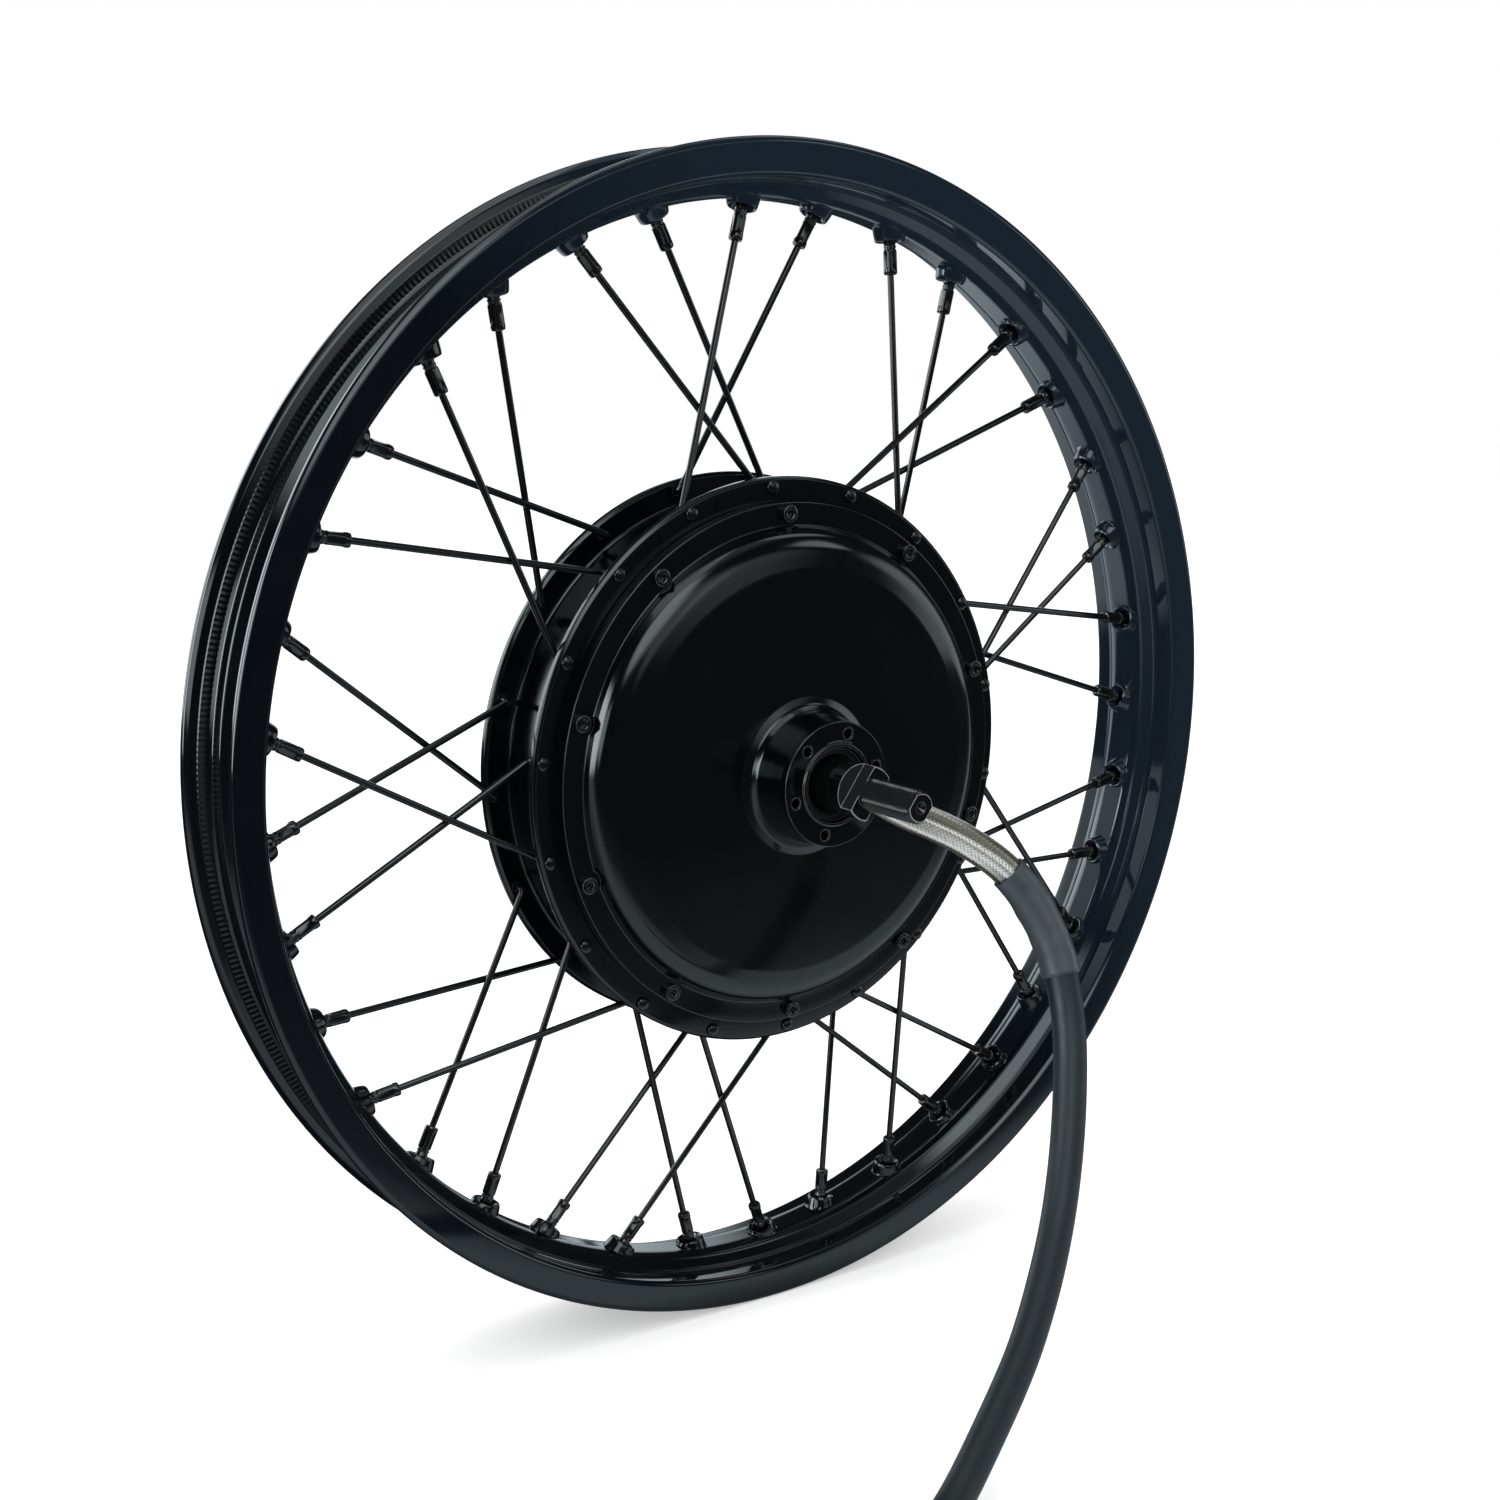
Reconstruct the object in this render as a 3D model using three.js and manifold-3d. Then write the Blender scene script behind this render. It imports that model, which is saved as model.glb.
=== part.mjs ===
// Spoked wheel with a direct-drive hub motor.
// Millimetres. Origin at the wheel centre, axle along Y, +Z up.
// The cable leaves on the -Y side; the +Y side mirrors it.
import * as THREE from 'three';
import { mergeVertices } from 'three/addons/utils/BufferGeometryUtils.js';
import Module from 'manifold-3d';

const wasm = await Module();
wasm.setup();

// ---- driving dimensions -------------------------------------------------
const RIM_FACETS = 72;
const HUB_FACETS = 36;        // one facet under every spoke hole
const COVER_FACETS = 40;      // four facets between neighbouring screws
const SMALL_FACETS = 18;      // bearings and seals
const WIRE_FACETS = 5;        // spokes, nipples and their seats
const GAP = 0.3;              // clearance between assembled parts

const RIM_R = 255.5;          // outer radius of the rim (19 inch bead)
const RIM_HALF = 28.6;        // half the overall width
const WELL_R = 233.6;         // hub-facing floor of the well
const BEAD_R = 244.8;         // bead seat on the tyre side

const SPOKES = 36;
const SPOKE_PITCH = 360 / SPOKES;
const SPOKE_START = 132.04;   // angle of nipple 0, from +X towards +Z
const WIRE_R = 1.45;
const NIPPLE_BASE_R = 230.2;  // top of the raised seat around a nipple
const NIPPLE_LEN = 13.4;      // visible length
const HOLE_TWIST = 0.85;      // hub holes against the nipple pitch

const FLANGE_R = 124.7;
const HOLE_R = 120.5;         // spoke hole circle
const FLANGE_OUT = 23.6;      // outer face of a flange, from the centre plane
const FLANGE_T = 5;
const DRUM_R = 113;
const SHELL_BORE = 104.6;

const COVER_R = 114.5;
const COVER_RIM_Y = 30;       // plane the screw heads rest on
const SCREW_R = 110;
const SCREWS = 10;
const SCREW_START = 127.45;

const BOSS_R = 26.9;
const BOSS_Y = 64.8;
const DISC_R = 22;            // 44 mm brake disc bolt circle
const DISC_HOLES = 6;
const DISC_START = 75.2;
const BOLT_R = 2.5;           // M5

const SHAFT_R = 11.6;
const SEAT_R = 12.5;          // 25 mm bearing seat
const CORE_R = 15;            // between the bearings
const THREAD_R = 7;           // M14
const FLAT_Y = 81;            // where the two flats start
const THREAD_Y = 88;
const AXLE_Y = 121;
const FLAT_HALF = 5;          // 10 mm across the flats
const FLAT_TURN = 145;        // direction one flat faces

const BRG_IN = 36;            // inner side face of each bearing
const BRG_W = 12;
const BRG_OD = 23.5;
const BALL_R = 3.2;
const BALL_PITCH_R = 18;
const BALLS = 7;

const STATOR_R = 94.7;
const STATOR_HALF = 20;
const TEETH = 15;
const POLES = 20;
const MAGNET_IN = 95.6;
const MAGNET_OUT = 98.3;
const IRON_OUT = 104.2;

const CABLE_R = 7.35;
const BRAID_R = 7;
const NECK_R = 4.6;           // braid where it passes the axle port

const ROUTE = [
  [0, -60, 0], [0, -70, 0], [3, -80, -2.4], [10.5, -86.3, -6.9], [21, -91, -11.5],
  [43, -101, -23.5], [62, -111, -40], [73, -124, -66], [73, -137, -95], [62, -153, -129],
  [39, -174, -170], [3, -198, -206], [-40, -220, -233], [-70, -234, -246.6], [-104, -249, -248.1],
];

// ---- materials ----------------------------------------------------------
const paint = (color, roughness, metalness) =>
  new THREE.MeshStandardMaterial({ color, roughness, metalness });
const MAT = {
  rim_black: paint(0x0b0c0e, 0.22, 0.6),
  hub_black: paint(0x0e1114, 0.32, 0.5),
  black_oxide: paint(0x15171a, 0.35, 0.85),
  steel: paint(0xb9bcc0, 0.3, 1.0),
  rubber: paint(0x121212, 0.7, 0.0),
  lamination: paint(0x5c6066, 0.55, 0.8),
  copper: paint(0xb4652c, 0.35, 0.9),
  magnet: paint(0x8e9296, 0.3, 0.9),
  aluminium: paint(0xa9adb2, 0.4, 0.9),
  braid: paint(0xb8b2a4, 0.4, 0.9),
  shrink: paint(0x2b2e32, 0.65, 0.0),
  jacket: paint(0x1a1d21, 0.55, 0.0),
};

// ---- small helpers ------------------------------------------------------
const rad = THREE.MathUtils.degToRad;
const around = (r, deg, y = 0) =>
  new THREE.Vector3(r * Math.cos(rad(deg)), y, r * Math.sin(rad(deg)));
const range = (n) => [...Array(n).keys()];

function volumeOf(geo) {
  const p = geo.getAttribute('position');
  const [a, b, c] = [0, 1, 2].map(() => new THREE.Vector3());
  let v = 0;
  for (let i = 0; i < geo.index.count; i += 3) {
    a.fromBufferAttribute(p, geo.index.getX(i));
    b.fromBufferAttribute(p, geo.index.getX(i + 1));
    c.fromBufferAttribute(p, geo.index.getX(i + 2));
    v += a.dot(b.cross(c)) / 6;
  }
  return v;
}

// Weld a three.js shape into an indexed closed surface that faces out.
function weld(geo) {
  const g = geo.clone();
  g.deleteAttribute('normal');
  g.deleteAttribute('uv');
  const w = mergeVertices(g, 1e-4);
  const tri = [];
  for (let i = 0; i < w.index.count; i += 3) {
    const t = [0, 1, 2].map((k) => w.index.getX(i + k));
    if (t[0] !== t[1] && t[1] !== t[2] && t[2] !== t[0]) tri.push(t);
  }
  w.setIndex(tri.flat());
  if (volumeOf(w) < 0) w.setIndex(tri.map((t) => t.reverse()).flat());
  return w;
}

function toSolid(geo) {
  const w = weld(geo);
  return new wasm.Manifold(new wasm.Mesh({
    numProp: 3,
    vertProperties: new Float32Array(w.getAttribute('position').array),
    triVerts: new Uint32Array(w.index.array),
  }));
}

function toGeometry(solid) {
  const m = solid.getMesh();
  const g = new THREE.BufferGeometry();
  g.setAttribute('position', new THREE.BufferAttribute(new Float32Array(m.vertProperties), 3));
  g.setIndex(new THREE.BufferAttribute(new Uint32Array(m.triVerts), 1));
  return g;
}

const addAll = (solid, geos) => geos.reduce((s, g) => s.add(toSolid(g)), solid);
const cutAll = (solid, geos) => geos.reduce((s, g) => s.subtract(toSolid(g)), solid);

// Solid of revolution about the axle from [radius, y] points.
// The first facet is centred on the given angle.
const turned = (profile, n = HUB_FACETS, centre = 0) =>
  new THREE.LatheGeometry(
    profile.map(([r, y]) => new THREE.Vector2(r, y)), n, rad(90 - centre + 180 / n));

// Ring section: the outline is closed back to its first point.
const ring = (profile, n, centre) => turned([...profile, profile[0]], n, centre);

const tube = (rIn, rOut, y0, y1, n, centre) =>
  ring([[rIn, y0], [rOut, y0], [rOut, y1], [rIn, y1]], n, centre);

// Outline in the XZ plane pushed from y0 to y1.
function slab(points, y0, y1, holes = []) {
  const shape = new THREE.Shape(points.map(([x, z]) => new THREE.Vector2(x, z)));
  for (const h of holes)
    shape.holes.push(new THREE.Path(h.map(([x, z]) => new THREE.Vector2(x, z))));
  const g = new THREE.ExtrudeGeometry(shape, { depth: y1 - y0, bevelEnabled: false });
  return g.rotateX(Math.PI / 2).translate(0, y1, 0);
}

const flat = (r, deg) => [r * Math.cos(rad(deg)), r * Math.sin(rad(deg))];
const circlePoints = (r, n, phase = 0) => range(n).map((i) => flat(r, phase + (360 * i) / n));

// Cylinder or cone whose axis runs from a to b.
function rod(a, b, ra, rb = ra, n = 8) {
  const d = b.clone().sub(a);
  const g = new THREE.CylinderGeometry(rb, ra, d.length(), n);
  g.translate(0, d.length() / 2, 0);
  return aim(g, a, d.normalize());
}

// Move a shape drawn along +Y from the origin so that it starts at a and points along dir.
function aim(geo, a, dir) {
  const q = new THREE.Quaternion().setFromUnitVectors(new THREE.Vector3(0, 1, 0), dir);
  return geo.applyQuaternion(q).translate(a.x, a.y, a.z);
}

const pin = (r, deg, y0, y1, size, n = 8) =>
  rod(around(r, deg, y0), around(r, deg, y1), size, size, n);
const mirrorY = (profile) => profile.map(([r, y]) => [r, -y]).reverse();

// Bend a turned shape, drawn along +Y, onto a curve; y becomes distance along it.
function bend(geo, curve, start = 0) {
  const total = curve.getLength();
  const steps = 400;
  const frames = curve.computeFrenetFrames(steps, false);
  const p = geo.getAttribute('position');
  const v = new THREE.Vector3();
  for (let i = 0; i < p.count; i++) {
    const u = THREE.MathUtils.clamp((start + p.getY(i)) / total, 0, 1);
    const k = Math.round(u * steps);
    v.copy(curve.getPointAt(u))
      .addScaledVector(frames.normals[k], p.getX(i))
      .addScaledVector(frames.binormals[k], p.getZ(i));
    p.setXYZ(i, v.x, v.y, v.z);
  }
  return geo;
}

// ---- spokes and nipples -------------------------------------------------
// Each pair on one flange swaps places: a nipple is laced to the hub hole
// that lies under its partner, so the two wires cross once.
function lacing(k) {
  const side = k % 2 === 0 ? -1 : 1;
  const first = k % 4 === 2 || k % 4 === 3;       // first spoke of a crossing pair
  const partner = first ? k + 2 : k - 2;
  const angle = SPOKE_START - SPOKE_PITCH * k;
  const hubAngle = SPOKE_START - SPOKE_PITCH * partner + HOLE_TWIST;
  const elbow = FLANGE_OUT - FLANGE_T - (first ? 6.4 : 2.6);
  const seat = around(NIPPLE_BASE_R, angle, side * (first ? 1.3 : 2.5));
  const corner = around(HOLE_R, hubAngle, side * elbow);
  return { side, angle, hubAngle, seat, corner, dir: seat.clone().sub(corner).normalize() };
}

function spokeCurve(l) {
  const bendR = 2.4;
  const out = around(HOLE_R, l.hubAngle, l.side * (FLANGE_OUT + 1.9));
  const intoBend = l.corner.clone().add(new THREE.Vector3(0, l.side * bendR, 0));
  const outOfBend = l.corner.clone().addScaledVector(l.dir, bendR);
  const end = l.seat.clone().addScaledVector(l.dir, -(NIPPLE_LEN + 0.2));
  const path = new THREE.CurvePath();
  path.add(new THREE.LineCurve3(out, intoBend));
  path.add(new THREE.QuadraticBezierCurve3(intoBend, l.corner.clone(), outOfBend));
  path.add(new THREE.LineCurve3(outOfBend, end));
  return { path, out, intoBend, outOfBend, end };
}

function spoke(k) {
  const l = lacing(k);
  const c = spokeCurve(l);
  const s1 = c.out.distanceTo(c.intoBend);
  const curved = c.path.curves[1].getLength();
  const total = s1 + curved + c.outOfBend.distanceTo(c.end);
  const profile = [
    [0, 0], [3.1, 0.8], [WIRE_R, 1.75], [WIRE_R, s1], [WIRE_R, s1 + curved],
    [WIRE_R, total], [0, total],
  ];
  return placeOnSpoke(turned(profile, WIRE_FACETS), l, c, s1, curved);
}

// The wire lies in one plane, so the bend needs no twist.
function placeOnSpoke(geo, l, c, s1, curved) {
  const across = new THREE.Vector3(0, -l.side, 0).cross(l.dir).normalize();
  const p = geo.getAttribute('position');
  for (let i = 0; i < p.count; i++) {
    const s = p.getY(i);
    const { point, tangent } = alongSpoke(c, s, s1, curved);
    const normal = across.clone().cross(tangent);
    const v = point.addScaledVector(normal, p.getX(i)).addScaledVector(across, p.getZ(i));
    p.setXYZ(i, v.x, v.y, v.z);
  }
  return weld(geo);
}

function alongSpoke(c, s, s1, curved) {
  const [first, arc, last] = c.path.curves;
  if (s <= s1) return { point: first.getPointAt(s / s1), tangent: first.getTangentAt(0) };
  if (s <= s1 + curved) {
    const u = (s - s1) / curved;
    return { point: arc.getPointAt(u), tangent: arc.getTangentAt(u) };
  }
  const u = Math.min(1, (s - s1 - curved) / last.getLength());
  return { point: last.getPointAt(u), tangent: last.getTangentAt(0) };
}

// Slim body and shank through the rim, wide head in the well.
function nipple(k) {
  const l = lacing(k);
  const profile = [
    [0, 0], [2.85, 0], [2.5, NIPPLE_LEN + 6], [3.7, NIPPLE_LEN + 9.2], [0, NIPPLE_LEN + 9.2],
  ];
  return aim(turned(profile, WIRE_FACETS), l.seat.clone().addScaledVector(l.dir, -NIPPLE_LEN), l.dir);
}

function nippleSet() {
  const hoop = toSolid(tube(239.4, 240.6, -0.7, 0.7, 36));
  return toGeometry(addAll(hoop, range(SPOKES).map(nipple)));
}

// ---- rim ----------------------------------------------------------------
function rimOutline() {
  const hubSide = [
    [WELL_R, 8.6], [240.2, 16.6], [240.8, 25.4], [254.4, RIM_HALF], [RIM_R, 25.8],
  ];
  const tyreSide = [
    [254, 22.8], [BEAD_R, 19.6], [BEAD_R - 0.6, 12.4], [236, 6.8],
  ];
  const half = [...hubSide, ...tyreSide];
  return [...half, ...mirrorY(half)];
}

function rim() {
  const seats = range(SPOKES).map((k) => {
    const l = lacing(k);
    const top = l.seat.clone().addScaledVector(l.dir, 0.2);
    return rod(top.clone().addScaledVector(l.dir, 4.4), top, 6.2, 5.2, WIRE_FACETS);
  });
  const holes = range(SPOKES).map((k) => {
    const l = lacing(k);
    const [from, to] = [-4, 9.5].map((s) => l.seat.clone().addScaledVector(l.dir, s));
    return rod(from, to, 3.4, 3.4, WIRE_FACETS);
  });
  const hoop = toSolid(ring(rimOutline(), RIM_FACETS, SPOKE_START));
  return toGeometry(cutAll(addAll(hoop, seats), holes));
}

// ---- hub shell, covers and their screws ---------------------------------
const HUB_PHASE = SPOKE_START + HOLE_TWIST;
const screwAngles = range(SCREWS).map((i) => SCREW_START + (360 / SCREWS) * i);

function hubShell() {
  const inner = FLANGE_OUT - FLANGE_T;
  const side = [
    [DRUM_R, inner], [FLANGE_R, inner], [FLANGE_R, FLANGE_OUT - 0.8], [FLANGE_R - 0.8, FLANGE_OUT],
    [SHELL_BORE, FLANGE_OUT],
  ];
  const body = ring([...side, ...mirrorY(side)], HUB_FACETS, HUB_PHASE);
  const cuts = range(SPOKES).map((k) => {
    const l = lacing(k);
    return pin(HOLE_R, l.hubAngle, l.side * (inner - 1), l.side * (FLANGE_OUT + 1), 1.95, 6);
  });
  for (const side of [-1, 1])
    for (const a of screwAngles)
      cuts.push(pin(SCREW_R, a, side * (FLANGE_OUT + 1), side * (FLANGE_OUT - 9.4), 2.3, 6));
  return toGeometry(cutAll(toSolid(body), cuts));
}

// Half section of a cover on the +Y side, outside face first.
function coverOutline() {
  const outside = [
    [COVER_R, 24.2], [COVER_R, COVER_RIM_Y], [104.6, COVER_RIM_Y], [101.4, 36.4], [93, 40.4],
    [36, 43.8], [30.2, 46.6], [BOSS_R, 56], [BOSS_R, BOSS_Y], [17.2, BOSS_Y], [17.2, 65.8],
    [16.2, 65.8],
  ];
  const inside = [
    [16.2, 48.4], [23.9, 48.4], [23.9, 36], [34, 38.4], [90, 35.6], [99.6, 30], [99.6, 21.6],
    [103.8, 21.6], [103.8, 24.2],
  ];
  return [...outside, ...inside];
}

function cover(side) {
  const outline = side > 0 ? coverOutline() : mirrorY(coverOutline());
  const cuts = screwAngles.map((a) => pin(SCREW_R, a, side * 20, side * 34, 2.5, 6));
  const discHoles = side < 0 ? range(DISC_HOLES) : [];       // brake disc on the cable side
  for (const i of discHoles)
    cuts.push(pin(DISC_R, DISC_START + 60 * i, side * 53, side * 67, BOLT_R));
  return toGeometry(cutAll(toSolid(ring(outline, COVER_FACETS, SCREW_START)), cuts));
}

// Cap screws, heads outwards; a thin hoop between cover and shell keeps the set together.
function coverScrews(side) {
  const y = side * 23.9;
  const hoop = toSolid(tube(109, 111, y - 0.12, y + 0.12, SCREWS * 2, SCREW_START));
  const parts = screwAngles.flatMap((a) => [
    pin(SCREW_R, a, side * 14.4, side * 31, 1.95, 6),
    pin(SCREW_R, a, side * (COVER_RIM_Y + 0.2), side * 33.1, 3.6),
  ]);
  return toGeometry(addAll(hoop, parts));
}

// ---- rotor inside the shell ---------------------------------------------
const backIron = () =>
  weld(tube(MAGNET_OUT + GAP, IRON_OUT, -20.5, 20.5, HUB_FACETS, HUB_PHASE));

// Magnets side by side, held on a thin carrier strip.
function magnetRing() {
  const step = 360 / POLES;
  const inner = range(POLES).flatMap((i) => [
    [97.6, -0.47], [MAGNET_IN, -0.43], [MAGNET_IN, 0.43], [97.6, 0.47],
  ].map(([r, f]) => flat(r, step * (i + f))));
  return weld(slab(circlePoints(MAGNET_OUT, HUB_FACETS, HUB_PHASE + 5), -20.5, 20.5, [inner]));
}

// ---- stator -------------------------------------------------------------
function statorOutline() {
  const step = 360 / TEETH;
  const tooth = [
    [76, -0.2], [91, -0.17], [STATOR_R, -0.42], [STATOR_R, 0.42], [91, 0.17], [76, 0.2],
  ];
  return range(TEETH).flatMap((i) => tooth.map(([r, f]) => flat(r, step * (i + f))));
}

const statorCore = () =>
  weld(slab(statorOutline(), -STATOR_HALF, STATOR_HALF, [circlePoints(70.3, 24)]));

// Copper in the slots joined by the end turns on both faces.
function windings() {
  const step = 360 / TEETH;
  const slot = [[77, 0.23], [89.6, 0.2], [89.6, 0.8], [77, 0.77]];
  const bars = range(TEETH).map((i) =>
    slab(slot.map(([r, f]) => flat(r, step * (i + f))), -22, 22));
  const end = [[76.4, 20.4], [90.4, 20.4], [87, 30], [79, 30]];
  const endTurns = toSolid(ring(end, TEETH, 180 / TEETH));
  return toGeometry(addAll(endTurns, [ring(mirrorY(end), TEETH, 180 / TEETH), ...bars]));
}

// Aluminium spider between axle and laminations.
function carrier() {
  const side = [[15.3, 24], [24, 24], [24, 4], [63, 4], [63, 17], [69.3, 17]];
  const windows = range(6).map((i) => pin(44, 60 * i, -9, 9, 7, 6));
  return toGeometry(cutAll(toSolid(ring([...side, ...mirrorY(side)], SMALL_FACETS)), windows));
}

// ---- axle ---------------------------------------------------------------
function axleOutline() {
  return [
    [0, AXLE_Y - 2.4], [2.2, AXLE_Y], [6, AXLE_Y], [THREAD_R, AXLE_Y - 1.2], [THREAD_R, THREAD_Y],
    [SHAFT_R, THREAD_Y], [SHAFT_R, 49], [SEAT_R, 49],
    [SEAT_R, BRG_IN], [CORE_R, BRG_IN],
  ];
}

// Two slabs of waste either side of the 10 mm flats.
function flatCuts(side) {
  return [0, 180].map((turn) => {
    const g = new THREE.BoxGeometry(20, 44, 30).translate(FLAT_HALF + 10, side * (FLAT_Y + 22), 0);
    return g.rotateY(-rad(FLAT_TURN + turn));
  });
}

function axle() {
  const half = axleOutline();
  const blank = toSolid(turned([...half, ...mirrorY(half)], 18));
  const hole = NECK_R + GAP;
  const steps = range(5).map((i) => [hole, 8 + i * 6.5]);
  const port = bend(turned([[0, 0], [hole, 0], ...steps, [0, 34]], 8), route);
  const bore = rod(new THREE.Vector3(0, -61, 0), new THREE.Vector3(0, -26, 0), hole);
  const exit = rod(new THREE.Vector3(0, -30.6, 0), new THREE.Vector3(0, -30.6, -17), 4.2);
  return toGeometry(cutAll(blank, [...flatCuts(-1), ...flatCuts(1), port, bore, exit]));
}

// ---- bearings and seals -------------------------------------------------
const mid = BRG_IN + BRG_W / 2;

function innerRace(side) {
  const [a, b] = [mid - 6, mid + 6];
  const p = [
    [12.8, a], [15.9, a], [15.9, mid - 3.3], [14.6, mid], [15.9, mid + 3.3], [15.9, b], [12.8, b],
  ];
  return weld(ring(side > 0 ? p : mirrorY(p), SMALL_FACETS));
}

function outerRace(side) {
  const [a, b] = [mid - 6, mid + 6];
  const p = [
    [BRG_OD, a], [BRG_OD, b], [20.4, b], [20.4, mid + 3.3], [21.6, mid], [20.4, mid - 3.3],
    [20.4, a],
  ];
  return weld(ring(side > 0 ? p : mirrorY(p), SMALL_FACETS));
}

// Balls held in their cage.
function ballCage(side) {
  const cage = toSolid(tube(17.2, 18.8, side * mid - 4.2, side * mid + 4.2, BALLS * 2));
  const balls = range(BALLS).map((i) => {
    const c = around(BALL_PITCH_R, (360 / BALLS) * i, side * mid);
    return new THREE.SphereGeometry(BALL_R, 5, 4).translate(c.x, c.y, c.z);
  });
  return toGeometry(addAll(cage, balls));
}

function seal(side) {
  const p = [[12, 57], [15.8, 57], [15.8, 64], [13, 64]];
  return weld(ring(side > 0 ? p : mirrorY(p), SMALL_FACETS));
}

// ---- cable --------------------------------------------------------------
const route = new THREE.CatmullRomCurve3(ROUTE.map((p) => new THREE.Vector3(...p)), false, 'centripetal');
const ROUTE_LEN = route.getLength();
const BRAID_END = 106;
const SHRINK_END = 146;

// Stations every few millimetres so the bends stay smooth.
function sleeveProfile(s0, s1, r, step) {
  const n = Math.ceil((s1 - s0) / step);
  return range(n + 1).map((i) => [r, s0 + ((s1 - s0) * i) / n]);
}

function braidedSleeve() {
  const p = [
    [0, 1], [NECK_R, 1], ...sleeveProfile(8, 34, NECK_R, 6.5),
    ...sleeveProfile(41, BRAID_END, BRAID_R, 9),
  ];
  return weld(bend(turned([...p, [0, BRAID_END]], 8), route));
}

// Grips the braid on one side and the jacket on the other.
function heatShrink() {
  const inside = [
    [BRAID_R + 0.6, BRAID_END - 12], [BRAID_R + 0.6, BRAID_END + 0.8],
    [CABLE_R + 0.5, BRAID_END + 1.6], [CABLE_R + 0.5, BRAID_END + 15],
    [CABLE_R + 0.5, SHRINK_END - 14], [CABLE_R + 0.5, SHRINK_END],
  ];
  const outside = inside.map(([r, s]) => [r + 1, s]).reverse();
  return weld(bend(ring([...inside, ...outside], 8), route));
}

function cableJacket() {
  const p = sleeveProfile(BRAID_END + 2.4, ROUTE_LEN, CABLE_R, 15);
  return weld(bend(turned([[0, BRAID_END + 2.4], ...p, [0, ROUTE_LEN]], 8), route));
}

// ---- assembly -----------------------------------------------------------
const group = new THREE.Group();
group.name = 'hub_motor_wheel';

function put(name, geometry, material) {
  const mesh = new THREE.Mesh(geometry, material);
  mesh.name = name;
  group.add(mesh);
}

put('rim', rim(), MAT.rim_black);
put('nipple_set', nippleSet(), MAT.black_oxide);
for (const k of range(SPOKES)) put(`spoke_${String(k + 1).padStart(2, '0')}`, spoke(k), MAT.black_oxide);
put('hub_shell', hubShell(), MAT.hub_black);
for (const [name, side] of [['cable_side', -1], ['far_side', 1]]) {
  put(`${name}_cover`, cover(side), MAT.hub_black);
  put(`${name}_cover_screws`, coverScrews(side), MAT.black_oxide);
  put(`${name}_bearing_outer`, outerRace(side), MAT.steel);
  put(`${name}_bearing_inner`, innerRace(side), MAT.steel);
  put(`${name}_bearing_balls`, ballCage(side), MAT.steel);
  put(`${name}_seal`, seal(side), MAT.rubber);
}
put('back_iron', backIron(), MAT.lamination);
put('magnet_ring', magnetRing(), MAT.magnet);
put('stator_core', statorCore(), MAT.lamination);
put('stator_windings', windings(), MAT.copper);
put('stator_carrier', carrier(), MAT.aluminium);
put('axle', axle(), MAT.black_oxide);
put('braided_sleeve', braidedSleeve(), MAT.braid);
put('heat_shrink', heatShrink(), MAT.shrink);
put('cable_jacket', cableJacket(), MAT.jacket);

export default group;
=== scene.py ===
"""Looks of the spoked hub motor wheel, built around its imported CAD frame.

Lengths are millimetres in the CAD frame, axle along Y, cable side -Y, and become metres when a
mesh is made. Angles run from +X towards +Z.
"""

import math
from types import SimpleNamespace

import bmesh
import bpy
import numpy as np
from mathutils import Matrix, Vector, noise


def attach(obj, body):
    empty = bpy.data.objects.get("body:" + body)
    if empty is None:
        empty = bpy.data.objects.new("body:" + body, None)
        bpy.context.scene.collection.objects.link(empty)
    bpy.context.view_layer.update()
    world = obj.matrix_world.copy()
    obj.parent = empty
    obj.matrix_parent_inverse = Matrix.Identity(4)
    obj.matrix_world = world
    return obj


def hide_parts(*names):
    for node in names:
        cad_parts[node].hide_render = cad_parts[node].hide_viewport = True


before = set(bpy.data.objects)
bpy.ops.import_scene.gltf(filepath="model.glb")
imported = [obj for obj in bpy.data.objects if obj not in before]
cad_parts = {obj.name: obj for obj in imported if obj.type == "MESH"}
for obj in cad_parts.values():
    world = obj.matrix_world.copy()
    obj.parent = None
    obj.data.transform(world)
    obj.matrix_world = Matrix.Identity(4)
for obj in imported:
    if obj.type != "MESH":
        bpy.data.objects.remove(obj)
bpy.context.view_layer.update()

# ---- driving dimensions (R radius, Y distance from the mid plane, angles in degrees) ---------
MM = 0.001
RIM_R, RIM_HALF = 255.5, 28.6
SPOKES, SPOKE_START, WIRE_R = 36, 132.04, 1.45
SPOKE_PITCH = 360 / SPOKES
SEAT_TOP_R, NIPPLE_LEN = 230.2, 13.4            # nipple length seen between seat and wire
HOLE_TWIST, SPOKE_HOLE_R = 0.85, 1.95           # twist of the flange holes against the nipples
FLANGE_R, HOLE_R, FLANGE_OUT, FLANGE_T = 124.7, 120.5, 23.6, 5.0
DRUM_R, SHELL_BORE = 113.0, 104.6
COVER_R, COVER_RIM_Y = 114.5, 30.0
SCREW_R, SCREWS, SCREW_START = 110.0, 10, 127.45
SCREW_BORE_R, POCKET_R = 2.3, 6.6               # pockets cut the dome's foot over each screw
BOSS_R, BOSS_Y = 26.9, 64.8
DISC_R, DISC_HOLES, DISC_START, BOLT_R = 22.0, 6, 75.2, 2.5
SHAFT_R, SEAT_R, CORE_R = 11.6, 12.5, 15.0      # outside, in the bearings, under the stator
THREAD_R, THREAD_PITCH, THREAD_DEPTH = 7.0, 1.5, 0.9
FLAT_Y, THREAD_Y, AXLE_Y = 81.0, 88.0, 121.0    # start of flats and thread, tip
FLAT_HALF, FLAT_TURN = 5.0, 145.0
CABLE_R, BRAID_R, NECK_R = 7.35, 7.0, 4.6
NECK_END, BRAID_FULL, BRAID_END = 34.0, 41.0, 106.0     # these and the next: along the route
SHRINK_START, SHRINK_END = 94.0, 146.0
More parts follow.
